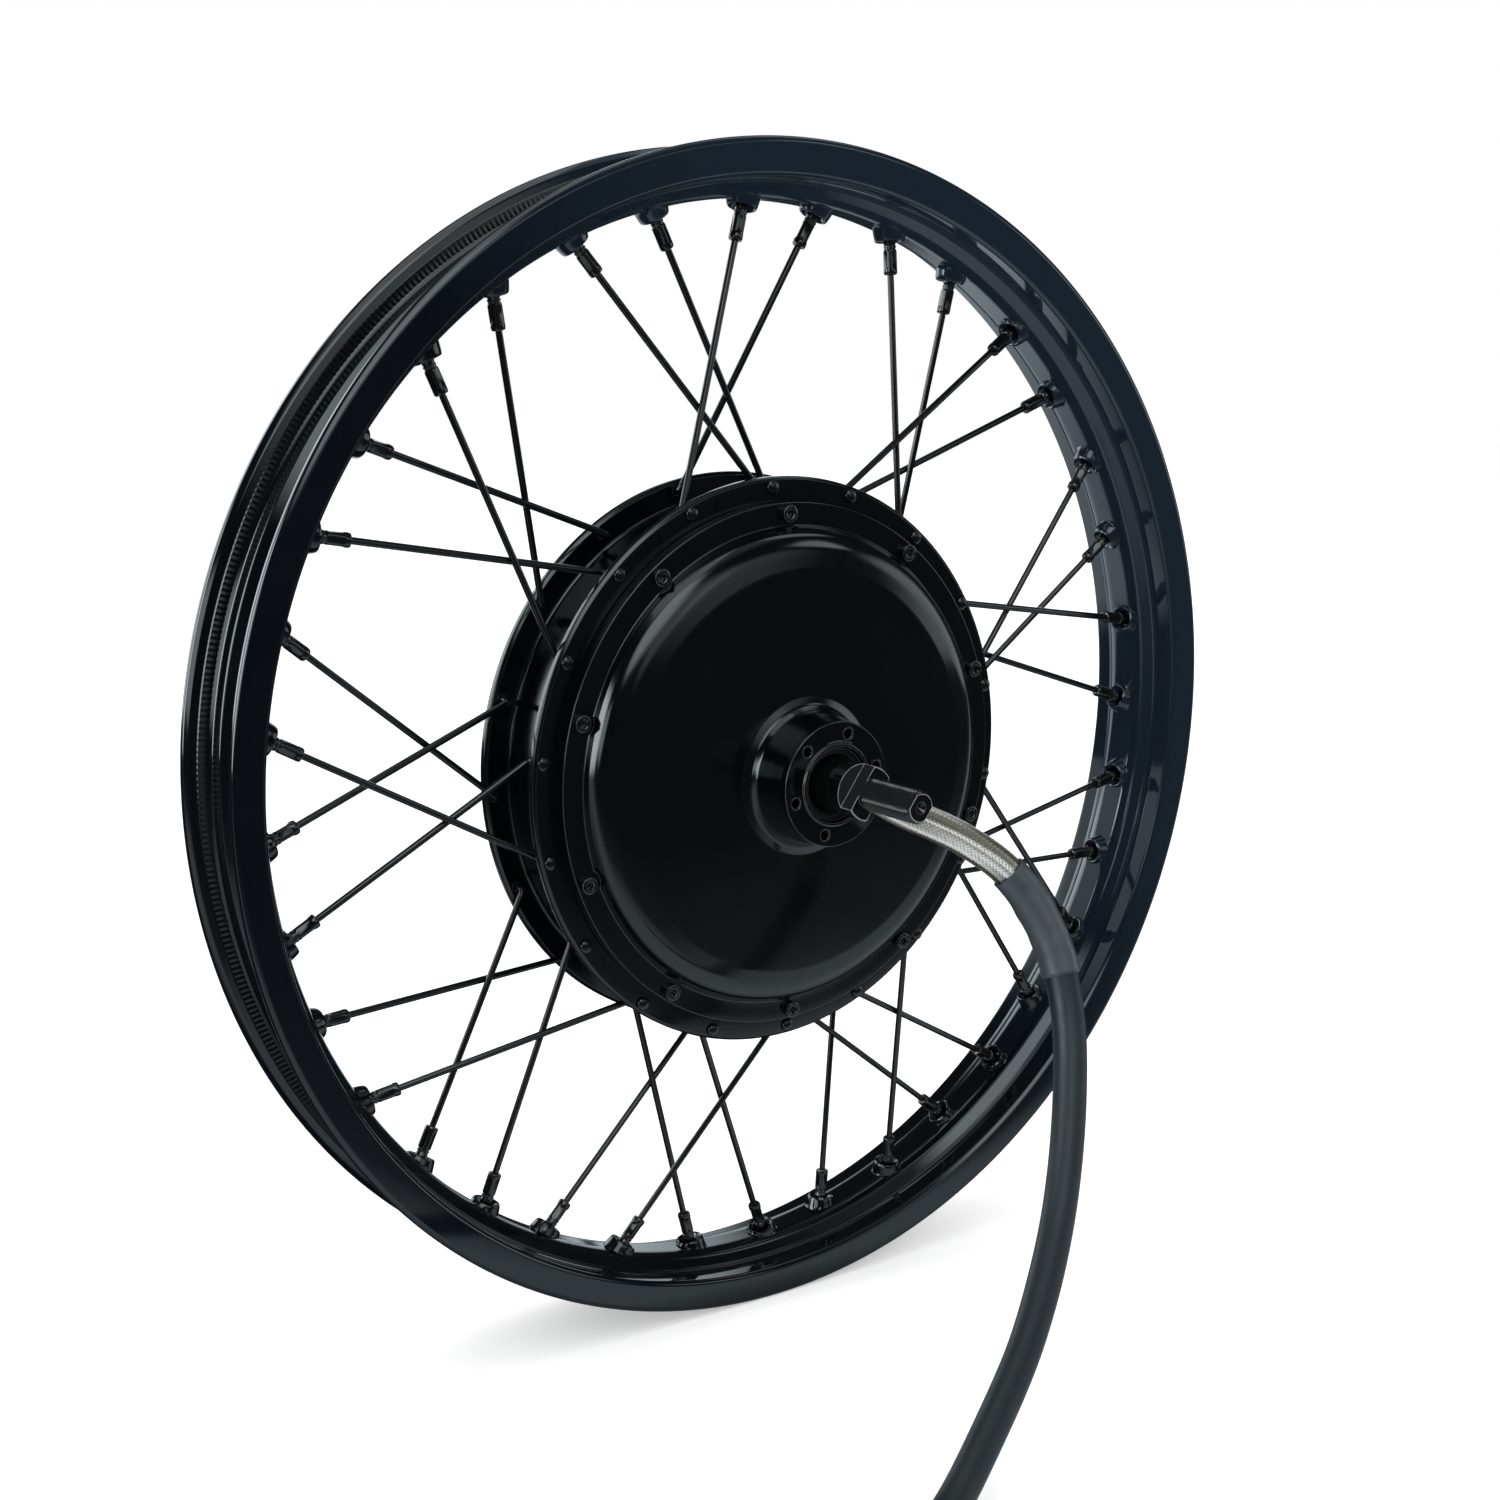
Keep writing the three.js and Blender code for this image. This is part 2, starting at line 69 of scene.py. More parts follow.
ROUTE = [
    (0, -60, 0), (0, -70, 0), (3, -80, -2.4), (10.5, -86.3, -6.9), (21, -91, -11.5),
    (43, -101, -23.5), (62, -111, -40), (73, -124, -66), (73, -137, -95), (62, -153, -129),
    (39, -174, -170), (3, -198, -206), (-40, -220, -233), (-70, -234, -246.6),
    (-104, -249, -248.1),
]


# ---- small helpers -------------------------------------------------------------------------
def around(r, deg, y=0.0):
    """Point at radius r and an angle in degrees."""
    a = math.radians(deg)
    return np.array([r * math.cos(a), y, r * math.sin(a)])


def unit(v):
    return v / np.linalg.norm(v)


def smooth_step(x, a, b):
    """0 up to a, 1 from b on, with a soft slope between."""
    t = np.clip((x - a) / (b - a), 0, 1)
    return t * t * (3 - 2 * t)


def circle(n):
    """n angles, once round."""
    return np.linspace(0, 2 * math.pi, n, endpoint=False)


def turned(r, y, a):
    """Points around the axle at radii r, heights y and angles a."""
    return np.stack([r * np.cos(a), y + 0 * a, r * np.sin(a)], -1)


def rounded(points, radius=0.5, steps=4, closed=True):
    """Outline with its corners rounded. A point's own third value overrides the radius."""
    pts = [np.array(p[:2], float) for p in points]
    size = [p[2] if len(p) > 2 else radius for p in points]
    out = []
    for i, p in enumerate(pts):
        if not closed and i in (0, len(pts) - 1):
            out.append(p)
            continue
        a, b = pts[i - 1] - p, pts[(i + 1) % len(pts)] - p
        la, lb = np.linalg.norm(a), np.linalg.norm(b)
        a, b = a / la, b / lb
        half = math.acos(max(-1.0, min(1.0, float(a @ b)))) / 2
        cut = min(size[i] / max(math.tan(half), 1e-3), 0.499 * la, 0.499 * lb)
        if size[i] <= 0 or half > math.pi / 2 - 0.01:
            out.append(p)
            continue
        for k in range(steps + 1):
            t = k / steps
            out.append((1 - t) ** 2 * (p + a * cut) + 2 * t * (1 - t) * p + t * t * (p + b * cut))
    return np.array(out)


def dense(outline, longest=3.0):
    """Closed outline with its long straight runs divided."""
    out = []
    for a, b in zip(outline, np.roll(outline, -1, axis=0)):
        n = max(1, math.ceil(np.linalg.norm(b - a) / longest))
        out += [a + (b - a) * k / n for k in range(n)]
    return np.array(out)


def grid_faces(rows, cols, close_rows=False, close_cols=True):
    """Quads over a rows x cols sheet of vertices numbered row by row."""
    i, j = np.meshgrid(np.arange(rows if close_rows else rows - 1),
                       np.arange(cols if close_cols else cols - 1), indexing="ij")
    i2, j2 = (i + 1) % rows, (j + 1) % cols
    return np.stack([i * cols + j, i * cols + j2, i2 * cols + j2, i2 * cols + j], -1).reshape(-1, 4)


def capped_faces(rows, cols):
    """The quads of an open tube and a face over each end."""
    faces = [tuple(f) for f in grid_faces(rows, cols)]
    return faces + [tuple(range(cols)), tuple(range((rows - 1) * cols, rows * cols))]


def new_object(name, data):
    obj = bpy.data.objects.new(name, data)
    bpy.context.scene.collection.objects.link(obj)
    return obj


def add_mesh(name, verts, faces, sharp=40.0, values=None):
    """Object from millimetre vertices, facing out, smooth up to the sharp angle. values holds
    named numbers for each vertex."""
    mesh = bpy.data.meshes.new(name)
    mesh.from_pydata((np.asarray(verts) * MM).tolist(), [], [list(map(int, f)) for f in faces])
    for key, data in (values or {}).items():
        attribute = mesh.attributes.new(key, "FLOAT", "POINT")
        attribute.data.foreach_set("value", np.asarray(data, np.float32))
    obj = new_object(name, mesh)
    clean(obj, sharp)
    return obj


def clean(obj, sharp):
    """Merges doubled vertices, turns faces outwards and sets the smooth shading."""
    bm = bmesh.new()
    bm.from_mesh(obj.data)
    bmesh.ops.remove_doubles(bm, verts=bm.verts, dist=1e-6)
    bmesh.ops.recalc_face_normals(bm, faces=bm.faces)
    bm.to_mesh(obj.data)
    bm.free()
    obj.data.shade_smooth()
    obj.data.set_sharp_from_angle(angle=math.radians(sharp))


def lathe(name, outline, n, sharp):
    """Solid of revolution about the axle, from a closed outline of (radius, y)."""
    verts = turned(outline[:, :1], outline[:, 1:], circle(n)).reshape(-1, 3)
    return add_mesh(name, verts, grid_faces(len(outline), n, close_rows=True), sharp)


def mirrored(outline):
    """The same outline on the other side of the mid plane, run backwards."""
    return [(p[0], -p[1], *p[2:]) for p in reversed(outline)]


def tube_points(points, across, up, radii):
    """Points around a path; radii is stations x angles."""
    a = circle(radii.shape[1])[None, :, None]
    ring = np.cos(a) * across[:, None, :] + np.sin(a) * up[:, None, :]
    return (points[:, None, :] + radii[..., None] * ring).reshape(-1, 3)


def tube(points, across, up, radii, name, sharp=60.0, values=None):
    """Round body along a path, with a face over each end."""
    verts = tube_points(points, across, up, radii)
    return add_mesh(name, verts, capped_faces(*radii.shape), sharp, values)


def cut(obj, cutter, sharp):
    """Subtracts cutter from obj and removes the cutter."""
    mod = obj.modifiers.new("cut", "BOOLEAN")
    mod.operation, mod.solver, mod.object = "DIFFERENCE", "EXACT", cutter
    bpy.context.view_layer.update()
    graph = bpy.context.evaluated_depsgraph_get()
    done = bpy.data.meshes.new_from_object(obj.evaluated_get(graph))
    obj.modifiers.clear()
    obj.data = done
    bpy.data.objects.remove(cutter)
    clean(obj, sharp)


def cylinders(name, specs, n=24):
    """One mesh of separate closed cylinders, each given as (start, end, radius)."""
    verts, faces = [], []
    for start, end, radius in specs:
        axis = unit(end - start)
        side = unit(np.cross(axis, [0.3, 0.2, 0.9]))
        up = np.cross(axis, side)
        base = len(verts)
        for centre in (start, end):
            for k in range(n):
                t = 2 * math.pi * k / n
                verts.append(centre + radius * (math.cos(t) * side + math.sin(t) * up))
        faces += [tuple(base + k for k in f) for f in capped_faces(2, n)]
    return add_mesh(name, verts, faces)


def settle(obj, body, slot, material, *nodes):
    """Gives a finished piece its material, its body and the CAD nodes it stands for."""
    obj.data.materials.clear()
    obj.data.materials.append(material)
    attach(obj, body)
    if nodes:
        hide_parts(*nodes)


def turn(deg):
    """Rotation that adds deg to every angle around the axle."""
    return Matrix.Rotation(-math.radians(deg), 4, "Y")


# ---- materials -----------------------------------------------------------------------------
class Nodes:
    """Short calls for wiring a node tree."""

    def __init__(self, name):
        self.mat = bpy.data.materials.new(name)
        self.mat.use_nodes = True
        self.tree = self.mat.node_tree
        self.shader = self.tree.nodes["Principled BSDF"]
        self.place = self.add("ShaderNodeNewGeometry").outputs["Position"]

    def add(self, kind, **values):
        node = self.tree.nodes.new(kind)
        for key, value in values.items():
            setattr(node, key, value)
        return node

    def feed(self, socket, value):
        """Links the value where it is another node's output, or sets it."""
        if isinstance(value, bpy.types.NodeSocket):
            self.tree.links.new(value, socket)
        else:
            socket.default_value = value

    def put(self, kind, output, inputs, **values):
        """One output of a new node with the given inputs."""
        node = self.add(kind, **values)
        for key, value in inputs.items():
            self.feed(node.inputs[key], value)
        return node.outputs[output]

    def coords(self):
        return self.put("ShaderNodeTexCoord", "Object", {})

    def value_of(self, name):
        return self.put("ShaderNodeAttribute", "Fac", {}, attribute_name=name)

    def noise(self, scale, detail, rough):
        return self.put("ShaderNodeTexNoise", "Fac", {
            "Scale": scale, "Detail": detail, "Roughness": rough, "Vector": self.coords()})

    def remap(self, source, low, high, to_low, to_high, **values):
        """Ramp from to_low to to_high while the source runs from low to high."""
        return self.put("ShaderNodeMapRange", "Result", {
            "From Min": low, "From Max": high, "To Min": to_low, "To Max": to_high,
            "Value": source}, **values)

    def math(self, operation, a, b):
        return self.put("ShaderNodeMath", 0, {0: a, 1: b}, operation=operation)

    def dot(self, a, b):
        return self.put("ShaderNodeVectorMath", "Value", {0: a, 1: b}, operation="DOT_PRODUCT")

    def blend(self, factor, a, b):
        a, b = [(*c, 1) if isinstance(c, tuple) else c for c in (a, b)]
        return self.put("ShaderNodeMix", 2, {6: a, 7: b, 0: factor}, data_type="RGBA")

    def bump(self, height, strength, distance):
        inputs = {"Strength": strength, "Distance": distance, "Height": height}
        earlier = self.shader.inputs["Normal"].links
        if earlier:
            inputs["Normal"] = earlier[0].from_socket
        self.feed(self.shader.inputs["Normal"], self.put("ShaderNodeBump", "Normal", inputs))

    def for_mirrors(self, usual, reflected, output):
        """Sends the usual surface to the output node, and the reflected one to glossy rays."""
        glossy = self.put("ShaderNodeLightPath", "Is Glossy Ray", {})
        mixed = self.put("ShaderNodeMixShader", "Shader", {0: glossy, 1: usual, 2: reflected})
        self.feed(self.tree.nodes[output].inputs["Surface"], mixed)


def finish_of(name, dark, light, rough, metallic=0.0, grain=900.0, grain_depth=0.00002, patch=18.0,
              specular=0.5, edge=None, sheen=None, edge_width=0.0004, rub_and_highlight_where=None):
    """A finish with patches of tone, uneven gloss and fine grain; where given, rubbed edges with a
    painted highlight, and a painted sheen on the upper right half, the side of the wheel that faces
    the room's light. rub_and_highlight_where names a vertex value that says how far each place
    takes the rubbed edges and their painted highlight."""
    n = Nodes(name)
    colour = n.blend(n.remap(n.noise(patch, 5.0, 0.6), 0.3, 0.7, 0.0, 1.0), dark, light)
    # painted sheen: the colour turns to the sheen colour on the upper right, the side that faces
    # the room's light
    if sheen:
        lit = n.dot(n.place, (0.75, 0.0, 0.66))
        colour = n.blend(n.remap(lit, 0.0, 0.13, 0.0, 1.0), colour, sheen)
    # rubbed edges with a painted highlight: near sharp edges the colour turns, in patches, to the
    # edge colour
    if edge:
        rounded_off = n.put("ShaderNodeBevel", "Normal", {"Radius": edge_width}, samples=4)
        same = n.dot(rounded_off, n.put("ShaderNodeNewGeometry", "Normal", {}))
        rub_and_highlight = n.math("MULTIPLY", n.remap(same, 0.998, 0.94, 0.0, 1.0),
                      n.remap(n.noise(260.0, 6.0, 0.7), 0.30, 0.60, 0.45, 1.0))
        if rub_and_highlight_where:
            rub_and_highlight = n.math("MULTIPLY", rub_and_highlight, n.value_of(rub_and_highlight_where))
        colour = n.blend(rub_and_highlight, colour, edge)
    gloss = n.remap(n.noise(patch * 4.3, 6.0, 0.65), 0.25, 0.75, *rough)
    for key, value in (("Base Color", colour), ("Roughness", gloss), ("Metallic", metallic),
                       ("Specular IOR Level", specular)):
        n.feed(n.shader.inputs[key], value)
    n.bump(n.noise(grain, 3.0, 0.5), 0.35, grain_depth)
    return n


def braid_finish():
    """Tinned wire, with painted shade between the strands and in the hollows between the lobes."""
    n = finish_of("braid_finish", (0.78, 0.75, 0.69), (0.92, 0.90, 0.85), (0.22, 0.34), 0.72,
                  grain=2600.0, grain_depth=0.00001, patch=30.0)
    socket = n.shader.inputs["Base Color"]
    # painted shade: where the weave value is low, between strands and in hollows between lobes, the
    # colour turns to the dark gap colour
    gap = n.remap(n.value_of("weave"), 0.0, 0.7, 1.0, 0.0)
    n.feed(socket, n.blend(gap, socket.links[0].from_socket, (0.12, 0.108, 0.08)))
    return n.mat


def ribbed_finish(n, direction, depth, inputs):
    """Adds fine parallel ribs to a finish."""
    wave = n.put("ShaderNodeTexWave", "Fac", {**inputs, "Vector": n.coords()},
                 bands_direction=direction)
    n.bump(wave, *depth)
    return n.mat


# the rim's sheen colour is a painted sheen: blue-grey on the upper right half, where the room's
# light falls
RIM_BLACK = finish_of(
    "rim_black_finish", (0.0012, 0.0022, 0.0036), (0.0020, 0.0034, 0.0054), (0.05, 0.09),
    grain=700.0, grain_depth=0.000004, sheen=(0.0072, 0.0130, 0.0208)).mat
KNURL_BLACK = finish_of(
    "rim_knurl_finish", (0.0008, 0.0012, 0.0018), (0.0016, 0.0024, 0.0034), (0.18, 0.28),
    specular=0.35, grain=1400.0, grain_depth=0.00001).mat
# edge= gives the finishes below rubbed edges carrying a painted highlight
HUB_BLACK = finish_of(
    "hub_black_finish", (0.0008, 0.0015, 0.0018), (0.0014, 0.0024, 0.0029), (0.09, 0.14),
    grain=1100.0, grain_depth=0.000006, edge=(0.17, 0.19, 0.20), edge_width=0.0003).mat
FINE = {"specular": 0.6, "grain": 1800.0, "patch": 90.0}
OXIDE = finish_of(
    "black_oxide_finish", (0.0014, 0.0018, 0.0020), (0.0028, 0.0034, 0.0037), (0.10, 0.18),
    edge=(0.21, 0.23, 0.235), edge_width=0.0002, **FINE).mat
MACHINED = finish_of(
    "machined_black_finish", (0.0016, 0.0019, 0.0020), (0.0030, 0.0034, 0.0036), (0.08, 0.15),
    edge=(0.85, 0.85, 0.82), edge_width=0.0003, rub_and_highlight_where="rub_and_glint", **FINE).mat
NIPPLE = finish_of(
    "nipple_finish", (0.0024, 0.0028, 0.0030), (0.0046, 0.0052, 0.0056), (0.08, 0.16),
    edge=(0.07, 0.072, 0.074), edge_width=0.0003, **FINE).mat
WIRE = finish_of(
    "wire_finish", (0.0018, 0.0022, 0.0026), (0.0030, 0.0036, 0.0042), (0.16, 0.20),
    grain=300.0, grain_depth=0.000001, patch=12.0).mat
STEEL = finish_of(
    "steel_finish", (0.42, 0.43, 0.45), (0.56, 0.57, 0.59), (0.18, 0.3), 1.0, patch=60.0).mat
RUBBER = finish_of(
    "rubber_finish", (0.0025, 0.0025, 0.003), (0.005, 0.005, 0.0055), (0.5, 0.72),
    grain=3000.0, grain_depth=0.00004, patch=60.0).mat
MAGNET = finish_of(
    "magnet_finish", (0.36, 0.37, 0.38), (0.50, 0.51, 0.52), (0.2, 0.34), 1.0, patch=50.0).mat
ALLOY = finish_of(
    "aluminium_finish", (0.40, 0.41, 0.43), (0.52, 0.53, 0.55), (0.32, 0.5), 0.9,
    grain=1500.0, grain_depth=0.00008, patch=40.0).mat
SHRINK = finish_of(
    "shrink_finish", (0.034, 0.041, 0.047), (0.050, 0.059, 0.067), (0.32, 0.46),
    grain=2400.0, grain_depth=0.00004, patch=45.0).mat
JACKET = finish_of(
    "jacket_finish", (0.006, 0.0095, 0.013), (0.010, 0.014, 0.018), (0.42, 0.54),
    grain=2600.0, grain_depth=0.00003, patch=35.0, specular=0.36).mat
BRAID = braid_finish()
LAMINATION = ribbed_finish(
    finish_of("lamination_finish", (0.10, 0.11, 0.12), (0.17, 0.18, 0.20), (0.38, 0.55), 0.8,
              patch=30.0), "Y", (0.5, 0.0001), {"Scale": 300.0})
COPPER = ribbed_finish(
    finish_of("copper_finish", (0.42, 0.15, 0.05), (0.62, 0.26, 0.09), (0.22, 0.4), 0.9,
              patch=60.0), "DIAGONAL", (0.9, 0.0003), {"Scale": 420.0, "Distortion": 1.5})


# ---- rim -----------------------------------------------------------------------------------
FLOOR_R = 233.6
HUB_FACE = rounded([
    (FLOOR_R, 0), (FLOOR_R, 6.6, 9), (235.4, 10.6, 8), (239.0, 14.6, 2), (239.4, 15.4, 0.5),
    (240.3, 15.7, 0.5), (240.8, 17.5, 2), (240.9, 25.2, 1.6), (242.3, 26.9, 2.2),
    (253.2, RIM_HALF, 1.8), (RIM_R, 27.3, 1.9), (RIM_R - 0.1, 24.6, 1.6), (253.4, 22.6, 2.4),
    (247.0, 20.8, 2.5), (245.0, 19.0, 1.6), (244.6, 13.2, 1.4), (236.4, 7.4, 3), (236, 0)],
    steps=5, closed=False)
PATCH_Y, PATCH_ROWS = 10.0, 16          # half height and rows of the cell holding one seat
PATCH_TURN, PATCH_COLS = 2.25, 14       # its half width in degrees, and columns
BETWEEN_COLS = 11                       # columns between two such cells
DOME_R, DOME_BLEND, CREST_R = 8.2, 1.0, 5.8
DOME = np.array([                       # (radius, depth) of the raised seat, from its pit outwards
    (3.3, 5.0), (3.3, 3.2), (3.7, 2.5), (4.3, 1.7), (4.8, 0.95), (5.15, 0.42), (5.45, 0.12),
    (CREST_R, 0.0), (6.15, 0.14), (6.4, 0.5), (6.6, 1.1), (6.75, 1.9), (6.95, 3.0), (7.2, 5.0),
    (7.7, 9.0), (DOME_R, 13.0)])
PIT_WALL_R, PIT_DEPTH = 3.7, 5.0


def lacing(k):
    """Where spoke k runs, as in the CAD part: its side of the hub, the angle of its flange hole,
    its elbow, its nipple seat, and the direction from elbow to seat."""
    side = -1 if k % 2 == 0 else 1
    first = k % 4 in (2, 3)
    partner = k + 2 if first else k - 2
    angle = SPOKE_START - SPOKE_PITCH * k
    hub_angle = SPOKE_START - SPOKE_PITCH * partner + HOLE_TWIST
    elbow = FLANGE_OUT - FLANGE_T - (6.4 if first else 2.6)
    seat = around(SEAT_TOP_R, angle, side * (1.3 if first else 2.5))
    corner = around(HOLE_R, hub_angle, side * elbow)
    return SimpleNamespace(side=side, hub_angle=hub_angle, seat=seat, corner=corner,
                           dir=unit(seat - corner))


def floor_radius(y):
    """Radius of the rim's hub-facing floor and of the wall up to its shoulder."""
    part = HUB_FACE[:np.argmax(HUB_FACE[:, 1] > 16.0)]
    return np.interp(np.abs(y), part[:, 1], part[:, 0])


def rim_outline():
    """Closed outline whose first rows are evenly spaced across the seat cells."""
    rows = np.linspace(-PATCH_Y, PATCH_Y, PATCH_ROWS + 1)
    seat_rows = np.stack([floor_radius(rows), rows], 1)
    in_cells = (HUB_FACE[:, 1] < PATCH_Y + 0.4) & (HUB_FACE[:, 0] < 235.6)
    outer = HUB_FACE[(np.arange(len(HUB_FACE)) > 0) & ~in_cells][:-1]
    under = np.array([(236.0, 4.5), (236.0, 0.0), (236.0, -4.5)])
    return np.concatenate([seat_rows, outer, under, outer[::-1] * [1, -1]])


def seat_rings(spoke, edge):
    """Rings of points from the cell's edge to the bottom of the pit around one nipple."""
    d = spoke.dir
    e2 = unit(np.array([0, 1.0, 0]) - d[1] * d)
    e1 = np.cross(e2, d)
    rel = edge - spoke.seat
    a, b = rel @ e1, rel @ e2
    phi, reach = np.arctan2(b, a), np.hypot(a, b)

    def place(rho, h):
        """Points at radii rho about the spoke's line and depths h along it."""
        flat = (rho * np.cos(phi))[:, None] * e1 + (rho * np.sin(phi))[:, None] * e2
        return spoke.seat + flat + np.outer(h, d)

    def surface(rho):
        """Depths at which the rim's plain floor is met, by Newton's method."""
        h = np.full(len(phi), 3.6)
        for _ in range(12):
            p, q = place(rho, h), place(rho, h + 0.01)
            f = np.hypot(p[:, 0], p[:, 2]) - floor_radius(p[:, 1])
            g = np.hypot(q[:, 0], q[:, 2]) - floor_radius(q[:, 1])
            h = h - f * 0.01 / (g - f)
        return h

    rings = []
    for share in (0.66, 0.33):
        rho = DOME_R + (reach - DOME_R) * share
        rings.append(place(rho, surface(rho)))
    steps = np.concatenate([np.linspace(DOME_R, 6.4, 9), DOME[DOME[:, 0] < 6.2, 0][::-1]])
    heights = np.interp(steps, DOME[1:, 0], DOME[1:, 1])
    heights[-1] = DOME[0, 1]
    for rho, dome_h in zip(steps, heights):
        rho = np.full(len(phi), rho)
        level = surface(rho) if rho[0] > PIT_WALL_R else np.full(len(phi), 99.0)
        gap = np.clip(DOME_BLEND - np.abs(level - dome_h), 0, None) / DOME_BLEND
        h = np.minimum(level, dome_h) - gap ** 2 * DOME_BLEND / 4
        rings.append(place(rho, h))
    return np.array(rings), place(np.zeros(len(phi)), np.full(len(phi), PIT_DEPTH))[0]


def rim_piece():
    """Turned hoop in which each seat's cell of faces makes way for rings around the nipple."""
    outline = rim_outline()
    rows = len(outline)
    turns = []
    for k in range(SPOKES):
        mid = SPOKE_START + SPOKE_PITCH * k
        after = mid + SPOKE_PITCH - PATCH_TURN
        turns += list(np.linspace(mid - PATCH_TURN, mid + PATCH_TURN, PATCH_COLS + 1))
        turns += list(np.linspace(mid + PATCH_TURN, after, BETWEEN_COLS + 1)[1:-1])
    turns = np.radians(turns)
    cols = len(turns)
    verts = [turned(outline[:, :1], outline[:, 1:], turns).reshape(-1, 3)]
    per = PATCH_COLS + BETWEEN_COLS
    faces = grid_faces(rows, cols, close_rows=True)
    in_rows = (np.arange(len(faces)) // cols) < PATCH_ROWS
    in_cols = (np.arange(len(faces)) % cols) % per < PATCH_COLS
    faces = [tuple(f) for f in faces[~(in_rows & in_cols)]]
    count = rows * cols
    for k in range(SPOKES):
        c0 = k * per
        loop = [(0, c) for c in range(PATCH_COLS)] + [(q, PATCH_COLS) for q in range(PATCH_ROWS)]
        loop += [(PATCH_ROWS, PATCH_COLS - c) for c in range(PATCH_COLS)]
        loop += [(PATCH_ROWS - q, 0) for q in range(PATCH_ROWS)]
        edge = [q * cols + c0 + c for q, c in loop]
        rings, bottom = seat_rings(lacing((SPOKES - k) % SPOKES), verts[0][edge])
        m = len(edge)
        starts = [count + i * m for i in range(len(rings))]
        numbered = [edge] + [list(range(first, first + m)) for first in starts]
        verts += [rings.reshape(-1, 3), bottom[None]]
        count += len(rings) * m + 1
        for a, b in zip(numbered, numbered[1:]):
            faces += [(a[j], a[(j + 1) % m], b[(j + 1) % m], b[j]) for j in range(m)]
        faces += [(numbered[-1][j], numbered[-1][(j + 1) % m], count - 1) for j in range(m)]
    return add_mesh("rim_hoop", np.concatenate(verts), faces, sharp=32)


def bead_knurl(name, side, teeth=668, height=0.36):
    """Fine radial serrations on the tyre-side wall of one flange."""
    ridge = np.tile([0.0, 0.5, 1.0, 0.5], teeth)
    outline = np.array([(246.0, 20.95), (246.4, 20.35), (247.6, 20.6), (249.0, 21.0),
                        (250.2, 21.35), (250.6, 21.9), (249.6, 22.4), (246.6, 21.8)])
    proud = np.array([0.0, 0.7, 1.0, 1.0, 0.7, 0.0, 0.0, 0.0])[:, None] * ridge * height
    y = side * (outline[:, 1:] - proud)
    verts = turned(outline[:, :1], y, circle(len(ridge))).reshape(-1, 3)
    faces = grid_faces(len(outline), len(ridge), close_rows=True)
    return add_mesh(name, verts, faces, sharp=25)


settle(rim_piece(), "wheel", "rim_black", RIM_BLACK, "rim")
for side_name, side in (("cable_side", -1), ("far_side", 1)):
    settle(bead_knurl(f"rim_knurl_{side_name}", side), "wheel", "rim_black", KNURL_BLACK)


# ---- spokes and nipples ----------------------------------------------------------------------
def bezier(a, b, c, n):
    """n points of the curve from a to c, bent towards b."""
    t = np.linspace(0, 1, n)[:, None]
    return (1 - t) ** 2 * a + 2 * t * (1 - t) * b + t * t * c


def spoke_piece(k, name, sides=14, bend=2.4):
    """Wire from its domed head outside the flange, through the elbow, into the nipple."""
    spoke = lacing(k)
    axis = np.array([0, spoke.side, 0.0])
    outer = around(HOLE_R, spoke.hub_angle, spoke.side * (FLANGE_OUT + 1.9))
    into, out = spoke.corner + axis * bend, spoke.corner + spoke.dir * bend
    end = spoke.seat - spoke.dir * (NIPPLE_LEN - 1.2)
    head = [(0.0, 0.0), (0.9, 0.03), (1.8, 0.2), (2.5, 0.52), (2.95, 0.95), (3.05, 1.25),
            (2.9, 1.5), (2.1, 1.75), (1.7, 2.0), (WIRE_R, 2.5)]
    pts = [outer - axis * d for _, d in head]
    rad = [r for r, _ in head]
    arc = bezier(into, spoke.corner, out, 12)
    line = [out + (end - out) * t for t in (0.02, 0.3, 0.6, 0.98, 1.0)]
    pts = np.array(pts + list(arc) + line)
    rad = np.array(rad + [WIRE_R] * (len(arc) + 4) + [WIRE_R - 0.3])
    tangent = np.gradient(pts, axis=0)
    tangent /= np.linalg.norm(tangent, axis=1)[:, None]
    across = np.repeat(unit(np.cross(-axis, spoke.dir))[None], len(pts), 0)
    radii = np.repeat(np.maximum(rad, 0.02)[:, None], sides, 1)
    return tube(pts, across, np.cross(across, tangent), radii, name)


def nipple_mesh(sides=32):
    """Drawn along +Y from the hub end; four wrench flats, a ringed neck and a domed head."""
    rows = [(1.62, 0.5), (1.62, 0.0), (2.2, 0.0), (2.75, 0.25), (2.95, 0.7), (2.98, 1.2),
            (2.98, 2.3), (2.95, 2.7), (2.95, 3.3), (2.95, 9.2), (2.9, 9.8), (2.72, 10.2),
            (2.5, 10.4), (2.5, 10.9), (2.78, 11.1), (2.78, 11.6), (2.5, 11.8), (2.5, 12.3),
            (2.7, 12.6), (2.7, 14.2), (2.6, 18.0), (2.6, 19.4), (3.3, 20.4), (3.75, 21.0),
            (3.8, 21.8), (3.3, 22.3), (1.9, 22.6), (0.02, 22.6)]
    squareness = {2.7: 0.3, 3.3: 1, 9.2: 1, 9.8: 0.4}       # by distance from the hub end
    a = circle(sides)
    flat = 2.5 / np.maximum(np.abs(np.cos(a)), np.abs(np.sin(a)))
    verts = []
    for r, y in rows:
        f = squareness.get(y, 0)
        verts.append(turned((1 - f) * r + f * np.minimum(r, flat), y, a))
    faces = capped_faces(len(rows), sides)
    return add_mesh("nipple_01", np.concatenate(verts), faces, sharp=35)


def along(spoke):
    """Matrix that takes +Y onto a spoke's direction, starting at its nipple's hub end."""
    m = Vector((0, 1, 0)).rotation_difference(Vector(spoke.dir)).to_matrix().to_4x4()
    m.translation = Vector((spoke.seat - spoke.dir * NIPPLE_LEN) * MM)
    return m


